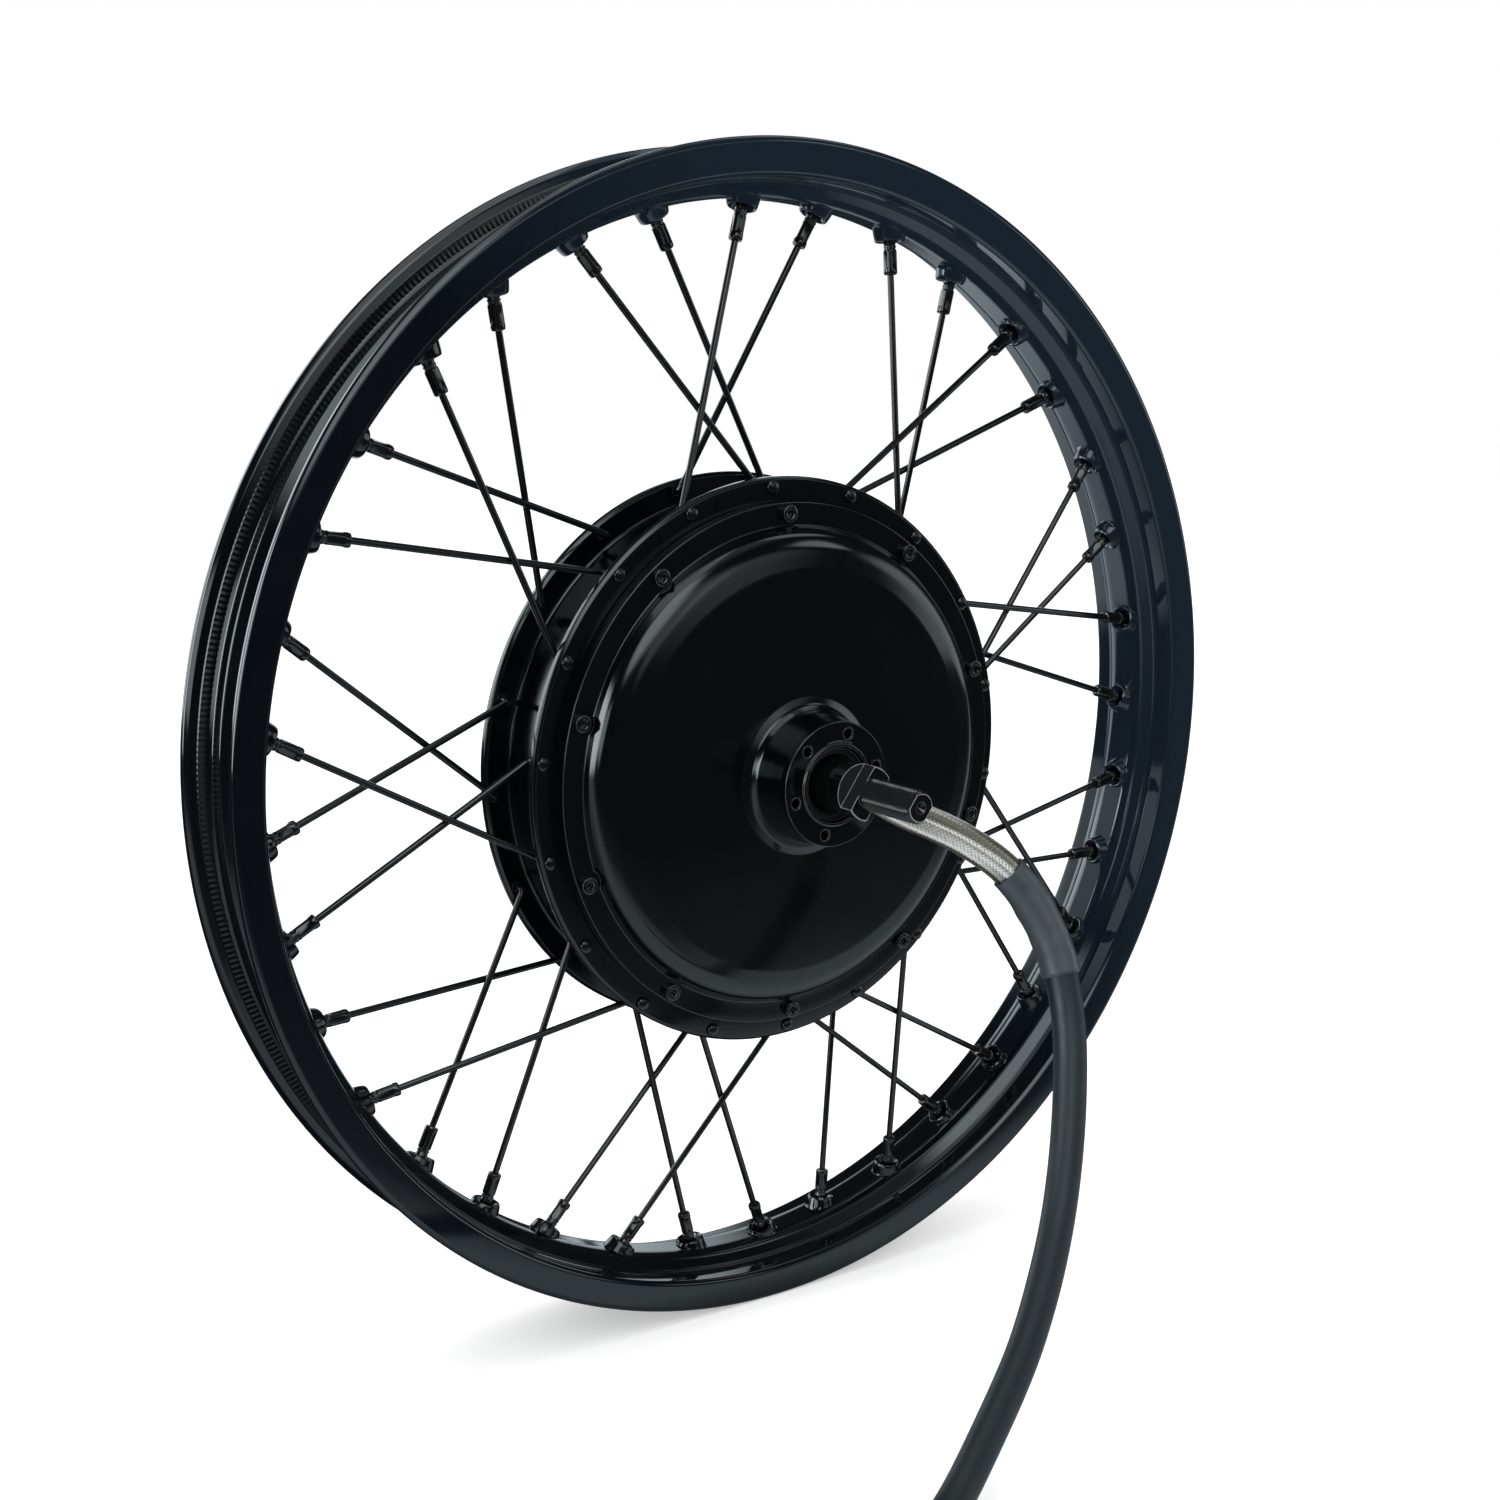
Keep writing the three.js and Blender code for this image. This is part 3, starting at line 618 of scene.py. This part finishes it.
unique = [spoke_piece(k, f"wire_{k + 1:02d}") for k in range(4)]     # the lacing repeats after four
nipple = nipple_mesh()
for k in range(SPOKES):
    wire = unique[k] if k < 4 else new_object(f"wire_{k + 1:02d}", unique[k % 4].data)
    wire.matrix_world = turn(-SPOKE_PITCH * (k - k % 4))
    settle(wire, "wheel", "black_oxide", WIRE, f"spoke_{k + 1:02d}")
    each = nipple if k == 0 else new_object(f"nipple_{k + 1:02d}", nipple.data)
    each.matrix_world = along(lacing(k))
    settle(each, "wheel", "black_oxide", NIPPLE, "nipple_set")


# ---- hub shell, covers, screws and seals -----------------------------------------------------
def hub_shell():
    """Drum with its two spoke flanges and their holes."""
    inner = FLANGE_OUT - FLANGE_T
    half = [(DRUM_R, 0.0, 0), (DRUM_R, inner, 2.2), (FLANGE_R - 1.4, inner, 0.6),
            (FLANGE_R, inner + 1.2, 0.7), (FLANGE_R, FLANGE_OUT - 1.1, 0.7),
            (FLANGE_R - 1.3, FLANGE_OUT, 0.6), (SHELL_BORE, FLANGE_OUT, 0.4)]
    outline = rounded([*half, *mirrored(half)[:-1]], steps=3)
    shell = lathe("hub_body", outline, n=216, sharp=45)
    holes = []
    for spoke in map(lacing, range(SPOKES)):
        inside, outside = [around(HOLE_R, spoke.hub_angle, spoke.side * y)
                           for y in (inner - 1, FLANGE_OUT + 1)]
        holes.append((inside, outside, SPOKE_HOLE_R))
    cut(shell, cylinders("spoke_holes", holes, n=16), sharp=45)
    return shell


def cover_piece(name, side):
    """Dished cover: screw rim, steep foot, broad shoulder, near-flat face and bearing boss."""
    outside = [
        (COVER_R, 24.2, 0.3), (COVER_R, COVER_RIM_Y, 0.6), (104.9, COVER_RIM_Y, 0.7),
        (104.0, 32.6, 5), (101.6, 36.6, 9), (96.5, 39.6, 14), (88, 40.9, 20), (62, 42.3, 30),
        (34.6, 43.6, 3.5), (31.0, 44.9, 3), (29.3, 47.6, 3.2), (27.9, 55.0, 8), (BOSS_R, 61.5, 4),
        (BOSS_R, BOSS_Y, 0.5), (17.9, BOSS_Y, 0.25), (17.6, BOSS_Y + 0.9, 0.25),
        (16.4, BOSS_Y + 0.9, 0.25),
    ]
    inside = [
        (16.2, BOSS_Y - 1.2, 0.3), (16.2, 48.4, 0.2), (23.9, 48.4, 0.2), (23.9, 36, 0.3),
        (34, 38.4, 3), (90, 35.6, 6), (99.6, 30, 4), (99.6, 21.6, 0.3), (103.8, 21.6, 0.3),
        (103.8, 24.2, 0.2),
    ]
    outline = dense(rounded([*outside, *inside], steps=7))
    cover = lathe(name, outline * [1, side], n=288, sharp=40)

    def drilled(count, r, start, low, high, radius):
        """A circle of cutters, each from y low to y high."""
        angles = [start + 360 / count * i for i in range(count)]
        return [(around(r, a, side * low), around(r, a, side * high), radius) for a in angles]

    pockets = drilled(SCREWS, SCREW_R, SCREW_START, COVER_RIM_Y + 0.02, 44, POCKET_R)
    cut(cover, cylinders("pockets", pockets, n=48), sharp=40)
    bores = drilled(SCREWS, SCREW_R, SCREW_START, 20, 34, SCREW_BORE_R)
    if side < 0:
        bores += drilled(DISC_HOLES, DISC_R, DISC_START, 52, 67, BOLT_R - 0.15)
    cut(cover, cylinders("bores", bores), sharp=40)
    return cover


def bolt_hole_rings():
    """Countersunk, threaded mouths of the brake disc holes."""
    outline = rounded([
        (2.02, -BOSS_Y + 9.0, 0), (2.62, -BOSS_Y + 9.0, 0), (2.62, -BOSS_Y + 0.4, 0.1),
        (3.02, -BOSS_Y - 0.02, 0.06), (2.72, -BOSS_Y - 0.12, 0.08), (2.2, -BOSS_Y + 0.5, 0.1)],
        steps=3)
    first = lathe("disc_thread_1", outline, n=40, sharp=50)
    for i in range(DISC_HOLES):
        at = around(DISC_R, DISC_START + 360 / DISC_HOLES * i) * MM
        piece = first if i == 0 else new_object(f"disc_thread_{i + 1}", first.data)
        piece.matrix_world = Matrix.Translation(Vector(at))
        settle(piece, "wheel", "hub_black", MACHINED)


def boss_mark():
    """Short raised arc above the lip of the boss."""
    turns = np.radians(np.linspace(66, 106, 28))
    centre, across = turned(18.7, -BOSS_Y - 0.12, turns), turned(1.0, 0.0, turns)
    up = np.repeat([[0, -1.0, 0]], len(turns), 0)
    return tube(centre, across, up, np.full((len(turns), 10), 0.26), "boss_mark")


def cap_screw(sides=48):
    """Socket head screw drawn head towards +Y, seated at y = 0."""
    a = circle(sides)
    sector = (a + math.pi / 6) % (math.pi / 3) - math.pi / 6
    hexagon = 1.55 / np.cos(sector)
    rows = [(0.02, -15), (1.7, -15), (1.95, -14.6), (1.95, 0), (3.3, 0), (3.55, 0.2), (3.6, 0.5),
            (3.6, 2.45), (3.5, 2.75), (3.2, 2.95), (2.55, 3.0), (2.1, 2.95),
            (1.1 * hexagon, 2.7), (hexagon, 2.45), (hexagon, 1.0), (0.02, 0.6)]
    verts = np.concatenate([turned(r, y, a) for r, y in rows])
    return add_mesh("screw_cable_side_1", verts, capped_faces(len(rows), sides), sharp=35)


def cover_screws():
    """Ten screws on each cover, each at its own turn of the wrench."""
    first = cap_screw()
    for side_name, side in (("cable_side", -1), ("far_side", 1)):
        for i in range(SCREWS):
            piece = first
            if side > 0 or i > 0:
                piece = new_object(f"screw_{side_name}_{i + 1}", first.data)
            at = around(SCREW_R, SCREW_START + 360 / SCREWS * i, side * (COVER_RIM_Y + 0.1))
            tilt = Matrix.Rotation(math.pi if side < 0 else 0, 4, "X")
            spin = Matrix.Rotation(0.7 * i + 0.3, 4, "Y")
            piece.matrix_world = Matrix.Translation(Vector(at * MM)) @ tilt @ spin
            settle(piece, "wheel", "black_oxide", OXIDE, f"{side_name}_cover_screws")


def seal_piece(name, side):
    """Lip seal: outer band, dished web and two fine ribs."""
    outline = rounded([
        (15.9, 57.0, 0.3), (15.9, 64.2, 0.4), (15.0, 64.4, 0.3), (14.7, 62.6, 0.5),
        (13.9, 62.2, 0.3), (13.7, 62.8, 0.2), (13.3, 62.8, 0.2), (13.0, 62.0, 0.4),
        (12.2, 61.2, 0.3), (12.0, 60.0, 0.3), (12.4, 59.0, 0.4), (12.2, 57.0, 0.3)], steps=3)
    return lathe(name, outline * [1, side], n=96, sharp=50)


settle(hub_shell(), "wheel", "hub_black", HUB_BLACK, "hub_shell")
for side_name, side in (("cable_side", -1), ("far_side", 1)):
    cover, seal = f"{side_name}_cover", f"{side_name}_seal"
    settle(cover_piece(f"{cover}_shell", side), "wheel", "hub_black", HUB_BLACK, cover)
    settle(seal_piece(f"{side_name}_lip_seal", side), "wheel", "rubber", RUBBER, seal)
bolt_hole_rings()
settle(boss_mark(), "wheel", "hub_black", HUB_BLACK)
cover_screws()


# ---- cable route -----------------------------------------------------------------------------
def route_samples(step=0.25):
    """Centripetal Catmull-Rom curve through ROUTE, resampled at even distances."""
    p = np.array(ROUTE, float)
    p = np.vstack([2 * p[0] - p[1], p, 2 * p[-1] - p[-2]])
    runs = []
    for i in range(1, len(p) - 2):
        p0, p1, p2, p3 = p[i - 1:i + 3]
        dt = [max(np.linalg.norm(b - a) ** 0.5, 1e-4) for a, b in ((p0, p1), (p1, p2), (p2, p3))]
        t1 = ((p1 - p0) / dt[0] - (p2 - p0) / (dt[0] + dt[1]) + (p2 - p1) / dt[1]) * dt[1]
        t2 = ((p2 - p1) / dt[1] - (p3 - p1) / (dt[1] + dt[2]) + (p3 - p2) / dt[2]) * dt[1]
        t = np.linspace(0, 1, 200, endpoint=False)[:, None]
        square, cube = -3 * p1 + 3 * p2 - 2 * t1 - t2, 2 * p1 - 2 * p2 + t1 + t2
        runs.append(p1 + t1 * t + square * t ** 2 + cube * t ** 3)
    curve = np.vstack([*runs, p[-2][None]])
    s = np.concatenate([[0], np.cumsum(np.linalg.norm(np.diff(curve, axis=0), axis=1))])
    even = np.arange(0, s[-1], step)
    return np.stack([np.interp(even, s, curve[:, c]) for c in range(3)], 1), even


PATH, PATH_S = route_samples()
TANGENT = np.gradient(PATH, axis=0)
TANGENT /= np.linalg.norm(TANGENT, axis=1)[:, None]


def carried_frames():
    """Frames that follow the route without twisting."""
    side = np.zeros_like(PATH)
    s = np.array([0.0, 0.0, 1.0])
    for i, t in enumerate(TANGENT):
        s = unit(s - (s @ t) * t)
        side[i] = s
    return side, np.cross(TANGENT, side)


SIDE, UP = carried_frames()


def at(s):
    """Points and frames at distances s along the route."""
    return [np.stack([np.interp(s, PATH_S, a[:, c]) for c in range(3)], 1)
            for a in (PATH, SIDE, UP)]


def sleeve_radius(s):
    """The sleeve is squeezed in the axle's port and widens outside it."""
    return NECK_R + (BRAID_R - NECK_R) * smooth_step(s, NECK_END - 12, BRAID_FULL + 3)


def bumps(phi, s, scale, stretch, start=0.0):
    """Smooth noise over a tube, at angles phi and distances s."""
    return np.array([[noise.noise(Vector((math.cos(p) * scale, math.sin(p) * scale,
                                          x * stretch + start))) for p in phi] for x in s])


def braided_sleeve(carriers=22, lay=44.0):
    """Woven sleeve over the leads, whose lobes show through it. Strips run both ways round,
    one turn in each lay length, and the hollows between lobes get painted shade."""
    s = np.arange(1.0, BRAID_END, 0.36)
    phi = circle(132)
    along_s = s[:, None]
    u = carriers * (phi / (2 * math.pi) + along_s / lay)
    v = carriers * (phi / (2 * math.pi) - along_s / lay)
    over = ((np.floor(u) + np.floor(v)) % 4 < 2).astype(float)
    band_u, band_v = np.sin(math.pi * (u % 1)) ** 0.6, np.sin(math.pi * (v % 1)) ** 0.6
    weave = over * band_u * (0.55 + 0.45 * band_v) + (1 - over) * band_v * (0.55 + 0.45 * band_u)
    twist = 0.9 * along_s / 100
    lobes = 0.42 * np.cos(3 * (phi + twist)) + 0.24 * np.cos(7 * (phi - 0.6 * twist) + 1.0)
    lobes *= smooth_step(along_s, 14, 48)
    radii = sleeve_radius(along_s) * 0.985 + lobes - 0.32 + 0.17 * weave
    # painted shade: the weave value is cut down in the hollows between lobes, which the finish
    # shows darker
    weave_and_painted_shade = weave * (0.10 + 0.90 * np.clip((lobes + 0.26) / 0.46, 0.0, 1.0))
    return tube(*at(s), radii, "woven_sleeve", sharp=80, values={"weave": weave_and_painted_shade.ravel()})


def heat_shrink():
    """Shrunk tube: rolled ends, soft ripples and a pressed crease of two folds."""
    phi = circle(96)
    s = np.arange(SHRINK_START + 0.4, SHRINK_END - 0.4, 0.8)
    inner = np.where(s < BRAID_END + 1.2, BRAID_R + 0.15, CABLE_R + 0.12)
    step = BRAID_R + 0.15 + (CABLE_R - BRAID_R) * smooth_step(s, BRAID_END - 2, BRAID_END + 8)
    bulge = 0.30 * bumps(phi, s, 1.3, 0.11) + 0.10 * bumps(phi, s, 3, 0.3, 9)
    for centre, lean, facing in ((115, 6.0, 4.2), (118, -5.0, 4.6)):
        off = s[:, None] - centre - lean * np.sin(phi - facing)
        patch = np.exp(-((np.cos(phi - facing) - 1) / 0.35) ** 2)
        ridge, groove = np.exp(-((off - 1.3) / 1.1) ** 2), np.exp(-(off / 0.7) ** 2)
        bulge += patch * (0.34 * ridge - 0.42 * groove)
    fade = smooth_step(s, SHRINK_START, SHRINK_START + 3)
    fade *= 1 - smooth_step(s, SHRINK_END - 3, SHRINK_END)
    outer = (step + 0.95)[:, None] + bulge * fade[:, None]
    back = np.concatenate([[inner[-1] + 0.45], inner[::-1], [inner[0] + 0.45]])
    stations = np.concatenate([s, [SHRINK_END - 0.1], s[::-1], [SHRINK_START + 0.1]])
    radii = np.vstack([outer, np.repeat(back[:, None], len(phi), 1)])
    verts = tube_points(*at(stations), radii)
    return add_mesh("shrink_tube", verts, grid_faces(*radii.shape, close_rows=True), sharp=50)


def cable_jacket():
    """Outer sheath, slightly out of round, down to its cut end."""
    s = np.arange(BRAID_END + 2.4, PATH_S[-1] - 0.2, 1.5)
    radii = CABLE_R - 0.1 + 0.12 * bumps(circle(72), s, 1, 0.03, 4)
    s = np.concatenate([s, [PATH_S[-1] - 0.1, PATH_S[-1]]])
    radii = np.vstack([radii, radii[-1:] - 0.05, radii[-1:] - 0.4])
    return tube(*at(s), radii, "cable_sheath")


def cable_cores():
    """Conductors showing at the cut end: three phase leads and five thin sensor leads. Each
    has its insulation up to a cut and a shorter bare core beyond it."""
    p, side, up = (a[0] for a in at(PATH_S[-1:]))
    leads = [(120 * i + 20, 3.5, 1.75, 2.2) for i in range(3)]
    leads += [(72 * i, 1.05, 0.48, 1.6) for i in range(3, 8)]
    for i, (angle, reach, r, out) in enumerate(leads):
        a = math.radians(angle)
        centre = p + reach * (math.cos(a) * side + math.sin(a) * up)
        s = np.array([-3.0, out - 0.2, out, out, out + 0.9, out + 1.1])
        radii = np.repeat(np.array([r, r, r * 0.9, r * 0.62, r * 0.6, r * 0.4])[:, None], 20, 1)
        across, upward = (np.repeat(v[None], len(s), 0) for v in (side, up))
        points = centre + np.outer(s, TANGENT[-1])
        body = tube(points, across, upward, radii, f"conductor_{i + 1}", sharp=40)
        settle(body, "axle_assembly", "copper", COPPER)
        body.data.materials.append(JACKET)
        for poly in body.data.polygons:
            beyond = (Vector(poly.center) / MM - Vector(p)).dot(Vector(TANGENT[-1]))
            poly.material_index = 1 if beyond < out - 0.05 else 0


settle(braided_sleeve(), "axle_assembly", "braid", BRAID, "braided_sleeve")
settle(heat_shrink(), "axle_assembly", "shrink", SHRINK, "heat_shrink")
settle(cable_jacket(), "axle_assembly", "jacket", JACKET, "cable_jacket")
cable_cores()


# ---- axle --------------------------------------------------------------------------------------
def axle_turns():
    """Angles from one flat's direction, close together where the flats meet the thread."""
    quarter = np.concatenate([np.arange(0, 30, 3.0), np.arange(30, 47, 0.7), np.arange(47, 62, 2.5),
                              [math.degrees(math.acos(FLAT_HALF / SHAFT_R)) - 0.01],
                              np.arange(65.5, 90, 3.5)])
    half = np.unique(np.round(np.concatenate([quarter, [90.0], 180 - quarter]), 5))
    return np.radians(np.concatenate([half[:-1], half[:-1] + 180]))


def axle_end(side, turns):
    """Rows of (y, radii, rubbed edges with painted glint) from the middle to the tip on one side.
    On the thread the edges are rubbed and given a painted glint only where a flat cuts a crest."""
    flat = FLAT_HALF / np.maximum(np.abs(np.cos(turns)), 1e-6)
    rows = []

    def row(y, r, flats=False, rub_and_glint=1.0):
        """One turned row, cut by the two flats where asked."""
        rows.append((side * y, np.minimum(r, flat) if flats else np.full(len(turns), float(r)),
                     np.full(len(turns), rub_and_glint)))

    for y, r in ((0, CORE_R), (35.4, CORE_R), (36, CORE_R - 0.4), (36, SEAT_R), (48.6, SEAT_R),
                 (49, SHAFT_R + 0.2), (49.2, SHAFT_R), (70, SHAFT_R), (FLAT_Y, SHAFT_R)):
        row(y, r)
    for y in (FLAT_Y, 84.5, THREAD_Y - 0.4):
        row(y, SHAFT_R, True)
    row(THREAD_Y, SHAFT_R - 0.4, True)
    root = THREAD_R - THREAD_DEPTH
    row(THREAD_Y, root, True, 0.3)
    row(THREAD_Y + 1.2, root, True, 0.0)
    for y in np.arange(THREAD_Y + 1.4, AXLE_Y - 0.3, 0.21):
        phase = (y / THREAD_PITCH + turns / (2 * math.pi)) % 1
        depth = THREAD_DEPTH * np.clip(1.15 - 2.3 * np.abs(phase - 0.5), 0.0, 1.0)
        runout = smooth_step(y, THREAD_Y + 1.2, THREAD_Y + 3.5)
        crest = root + (THREAD_DEPTH - depth) * runout
        crest = np.minimum(crest, THREAD_R - max(0.0, y - (AXLE_Y - 1.5)) * 0.75)
        # painted glint: crests cut by a flat get the rubbed, highlighted edge colour; the rest of
        # the thread almost none
        cut_crest = (crest > THREAD_R - 0.4) & (np.abs(crest - flat) < 0.5)
        rows.append((side * y, np.minimum(crest, flat), np.where(cut_crest, 2.0, 0.02)))
    row(AXLE_Y - 0.15, 5.9, True)
    row(AXLE_Y, 5.7, True)
    for y, r in ((AXLE_Y, 2.5), (AXLE_Y - 0.3, 2.15), (AXLE_Y - 2.6, 0.02)):
        row(y, r, rub_and_glint=0.15)
    return rows


def axle_piece():
    """The whole axle, with the cable's port cut along the route."""
    turns = axle_turns()
    rows = axle_end(-1, turns)[::-1] + axle_end(1, turns)[1:]
    angle = turns + math.radians(FLAT_TURN)
    verts = np.concatenate([turned(r, y, angle) for y, r, _ in rows])
    rub_and_glint_values = np.concatenate([rub_and_glint for *_, rub_and_glint in rows])
    faces = capped_faces(len(rows), len(turns))
    axle = add_mesh("axle_shaft", verts, faces, sharp=28, values={"rub_and_glint": rub_and_glint_values})
    points, side, up = at(np.arange(0, 36, 0.8))
    points[0, 1] = -58.0
    cut(axle, tube(points, side, up, np.full((len(points), 40), NECK_R + 0.3), "port"), sharp=28)
    return axle


settle(axle_piece(), "axle_assembly", "black_oxide", MACHINED, "axle")


# ---- CAD parts that stay, with their finishes --------------------------------------------------
KEPT = {"back_iron": LAMINATION, "magnet_ring": MAGNET, "stator_core": LAMINATION,
        "stator_windings": COPPER, "stator_carrier": ALLOY}
for side_name in ("cable_side", "far_side"):
    KEPT |= {f"{side_name}_bearing_{part}": STEEL for part in ("outer", "inner", "balls")}
for node, material in KEPT.items():
    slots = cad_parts[node].data.materials
    slots.clear()
    slots.append(material)


# ---- floor, light and camera -------------------------------------------------------------------
FLOOR_Z = -RIM_R * MM


def studio_floor():
    """A pale floor; glossy rays see a painted reflection of it, with painted light in front of the
    wheel and far behind it and painted shadow close to the wheel.
    """
    bm = bmesh.new()
    bmesh.ops.create_grid(bm, x_segments=24, y_segments=24, size=6.0)
    mesh = bpy.data.meshes.new("floor")
    bm.to_mesh(mesh)
    bm.free()
    floor = new_object("floor", mesh)
    floor.location = (0, 0, FLOOR_Z)
    n = finish_of("floor_finish", (0.98, 0.98, 0.98), (1.0, 1.0, 1.0), (0.6, 0.7),
                  patch=2.0, specular=0.05)
    x, y = (n.put("ShaderNodeSeparateXYZ", axis, {0: n.place}) for axis in "XY")

    def product(*ramps):
        """Brightness as a product of ramps (coordinate, from, to, first level, last level)."""
        levels = [n.remap(*ramp) for ramp in ramps]
        return n.math("MULTIPLY", n.math("MULTIPLY", *levels[:2]), levels[2])

    # painted light and shadow for reflections only: bright in front of the wheel and far behind it,
    # dark next to it
    front = product((y, -0.42, -0.22, 0.12, 0.85), (y, -0.09, -0.01, 1.0, 0.0),
                    (y, -0.80, -0.46, 0.15, 1.0))
    behind = product((y, 0.30, 0.45, 0.0, 1.2), (x, 0.35, 0.60, 1.0, 0.0),
                     (x, -0.28, -0.17, 0.0, 1.0))
    level = n.math("ADD", n.math("ADD", front, behind), 0.03)
    painted_reflection = n.put("ShaderNodeEmission", "Emission",
                   {"Strength": level, "Color": (0.78, 0.92, 1.0, 1)})
    n.shader.inputs["Emission Color"].default_value = (1, 1, 1, 1)
    n.shader.inputs["Emission Strength"].default_value = 0.35
    n.for_mirrors(n.shader.outputs["BSDF"], painted_reflection, "Material Output")
    mesh.materials.append(n.mat)


def overhead_light():
    """One weak, soft lamp, enough to anchor the wheel with a shadow."""
    data = bpy.data.lights.new("overhead", "AREA")
    data.shape = "RECTANGLE"
    data.size, data.size_y = 1.4, 1.0
    data.energy = 5
    lamp = new_object("overhead", data)
    lamp.location = (-0.2, 0.1, 1.6)
    lamp.rotation_euler = (-lamp.location).to_track_quat("-Z", "Y").to_euler()
    lamp.visible_camera = False


ROOM_LEVEL = 0.04
ROOM = [    # azimuth (0 is +X, 90 is +Y), elevation, half angles where it ends and is full, level
    (172, 14, 23, 15, 9.6),      # window, behind on the left
    (106, 10, 25, 13, 3.2),      # window, straight behind
    (140, 14, 30, 10, 0.8),      # wall between them
    (-156, 12, 13, 7, 3.0),      # window, on the left
    (-117, 46, 25, 13, 3.4),     # their light on the left wall
    (-84, 25, 20, 8, 0.9),
    (-66, 17, 18, 6, 0.6),
    (-22, 6, 22, 13, 1.5),       # pale wall on the right
    (-39, 33, 9, 5, 2.2),        # lamps above
    (-2, 56, 14, 6, 1.5),
    (0, 90, 40, 15, 0.4),        # ceiling
    (50, 10, 20, 8, 1.4),        # low window behind on the right
]


class WorldNodes(Nodes):
    def __init__(self, world):
        self.tree = world.node_tree


def surroundings():
    """White all round, as the camera and matt surfaces see it; glossy ones see a studio."""
    world = bpy.data.worlds.new("studio")
    bpy.context.scene.world = world
    world.use_nodes = True
    n = WorldNodes(world)
    seen = n.tree.nodes["Background"]
    seen.inputs["Color"].default_value = (1, 1, 1, 1)
    direction = n.put("ShaderNodeTexCoord", "Generated", {})
    total = ROOM_LEVEL
    for azimuth, elevation, outer, inner, level in ROOM:
        a, e = math.radians(azimuth), math.radians(elevation)
        towards = (math.cos(e) * math.cos(a), math.cos(e) * math.sin(a), math.sin(e))
        ends, full = math.cos(math.radians(outer)), math.cos(math.radians(inner))
        patch = n.remap(n.dot(direction, towards), ends, full, 0.0, level,
                        interpolation_type="SMOOTHSTEP")
        total = n.math("ADD", patch, total)
    room = n.put("ShaderNodeBackground", "Background",
                 {"Strength": total, "Color": (0.84, 0.96, 1.0, 1)})
    n.for_mirrors(seen.outputs["Background"], room, "World Output")


def studio_camera():
    """The photograph's viewpoint. Its lens shift applies only while the camera stands there."""
    data = bpy.data.cameras.new("camera")
    camera, here = new_object("camera", data), new_object("photo_spot", None)
    bpy.context.scene.camera = camera
    data.sensor_width, data.lens = 36.0, 48.40
    data.clip_start, data.clip_end = 0.05, 50
    camera.location = here.location = Vector((-0.5215, -0.7393, 0.1744))
    camera.rotation_mode = "QUATERNION"
    look = Vector((0.52206, 0.78545, -0.33244))
    camera.rotation_quaternion = look.to_track_quat("-Z", "Y")
    for path, value in (("shift_x", 0.0376), ("shift_y", 0.2080)):
        curve = data.driver_add(path)
        curve.driver.type = "SUM"
        moved = curve.driver.variables.new()
        moved.type = "LOC_DIFF"
        moved.targets[0].id, moved.targets[1].id = camera, here
        for modifier in list(curve.modifiers):
            curve.modifiers.remove(modifier)
        while curve.keyframe_points:
            curve.keyframe_points.remove(curve.keyframe_points[0])
        for metres_away, shift in ((0.0, value), (0.02, value), (0.04, 0.0), (9.0, 0.0)):
            key = curve.keyframe_points.insert(metres_away, shift)
            key.interpolation = "LINEAR"


studio_floor()
surroundings()
overhead_light()
studio_camera()
bpy.context.scene.view_settings.view_transform = "Standard"
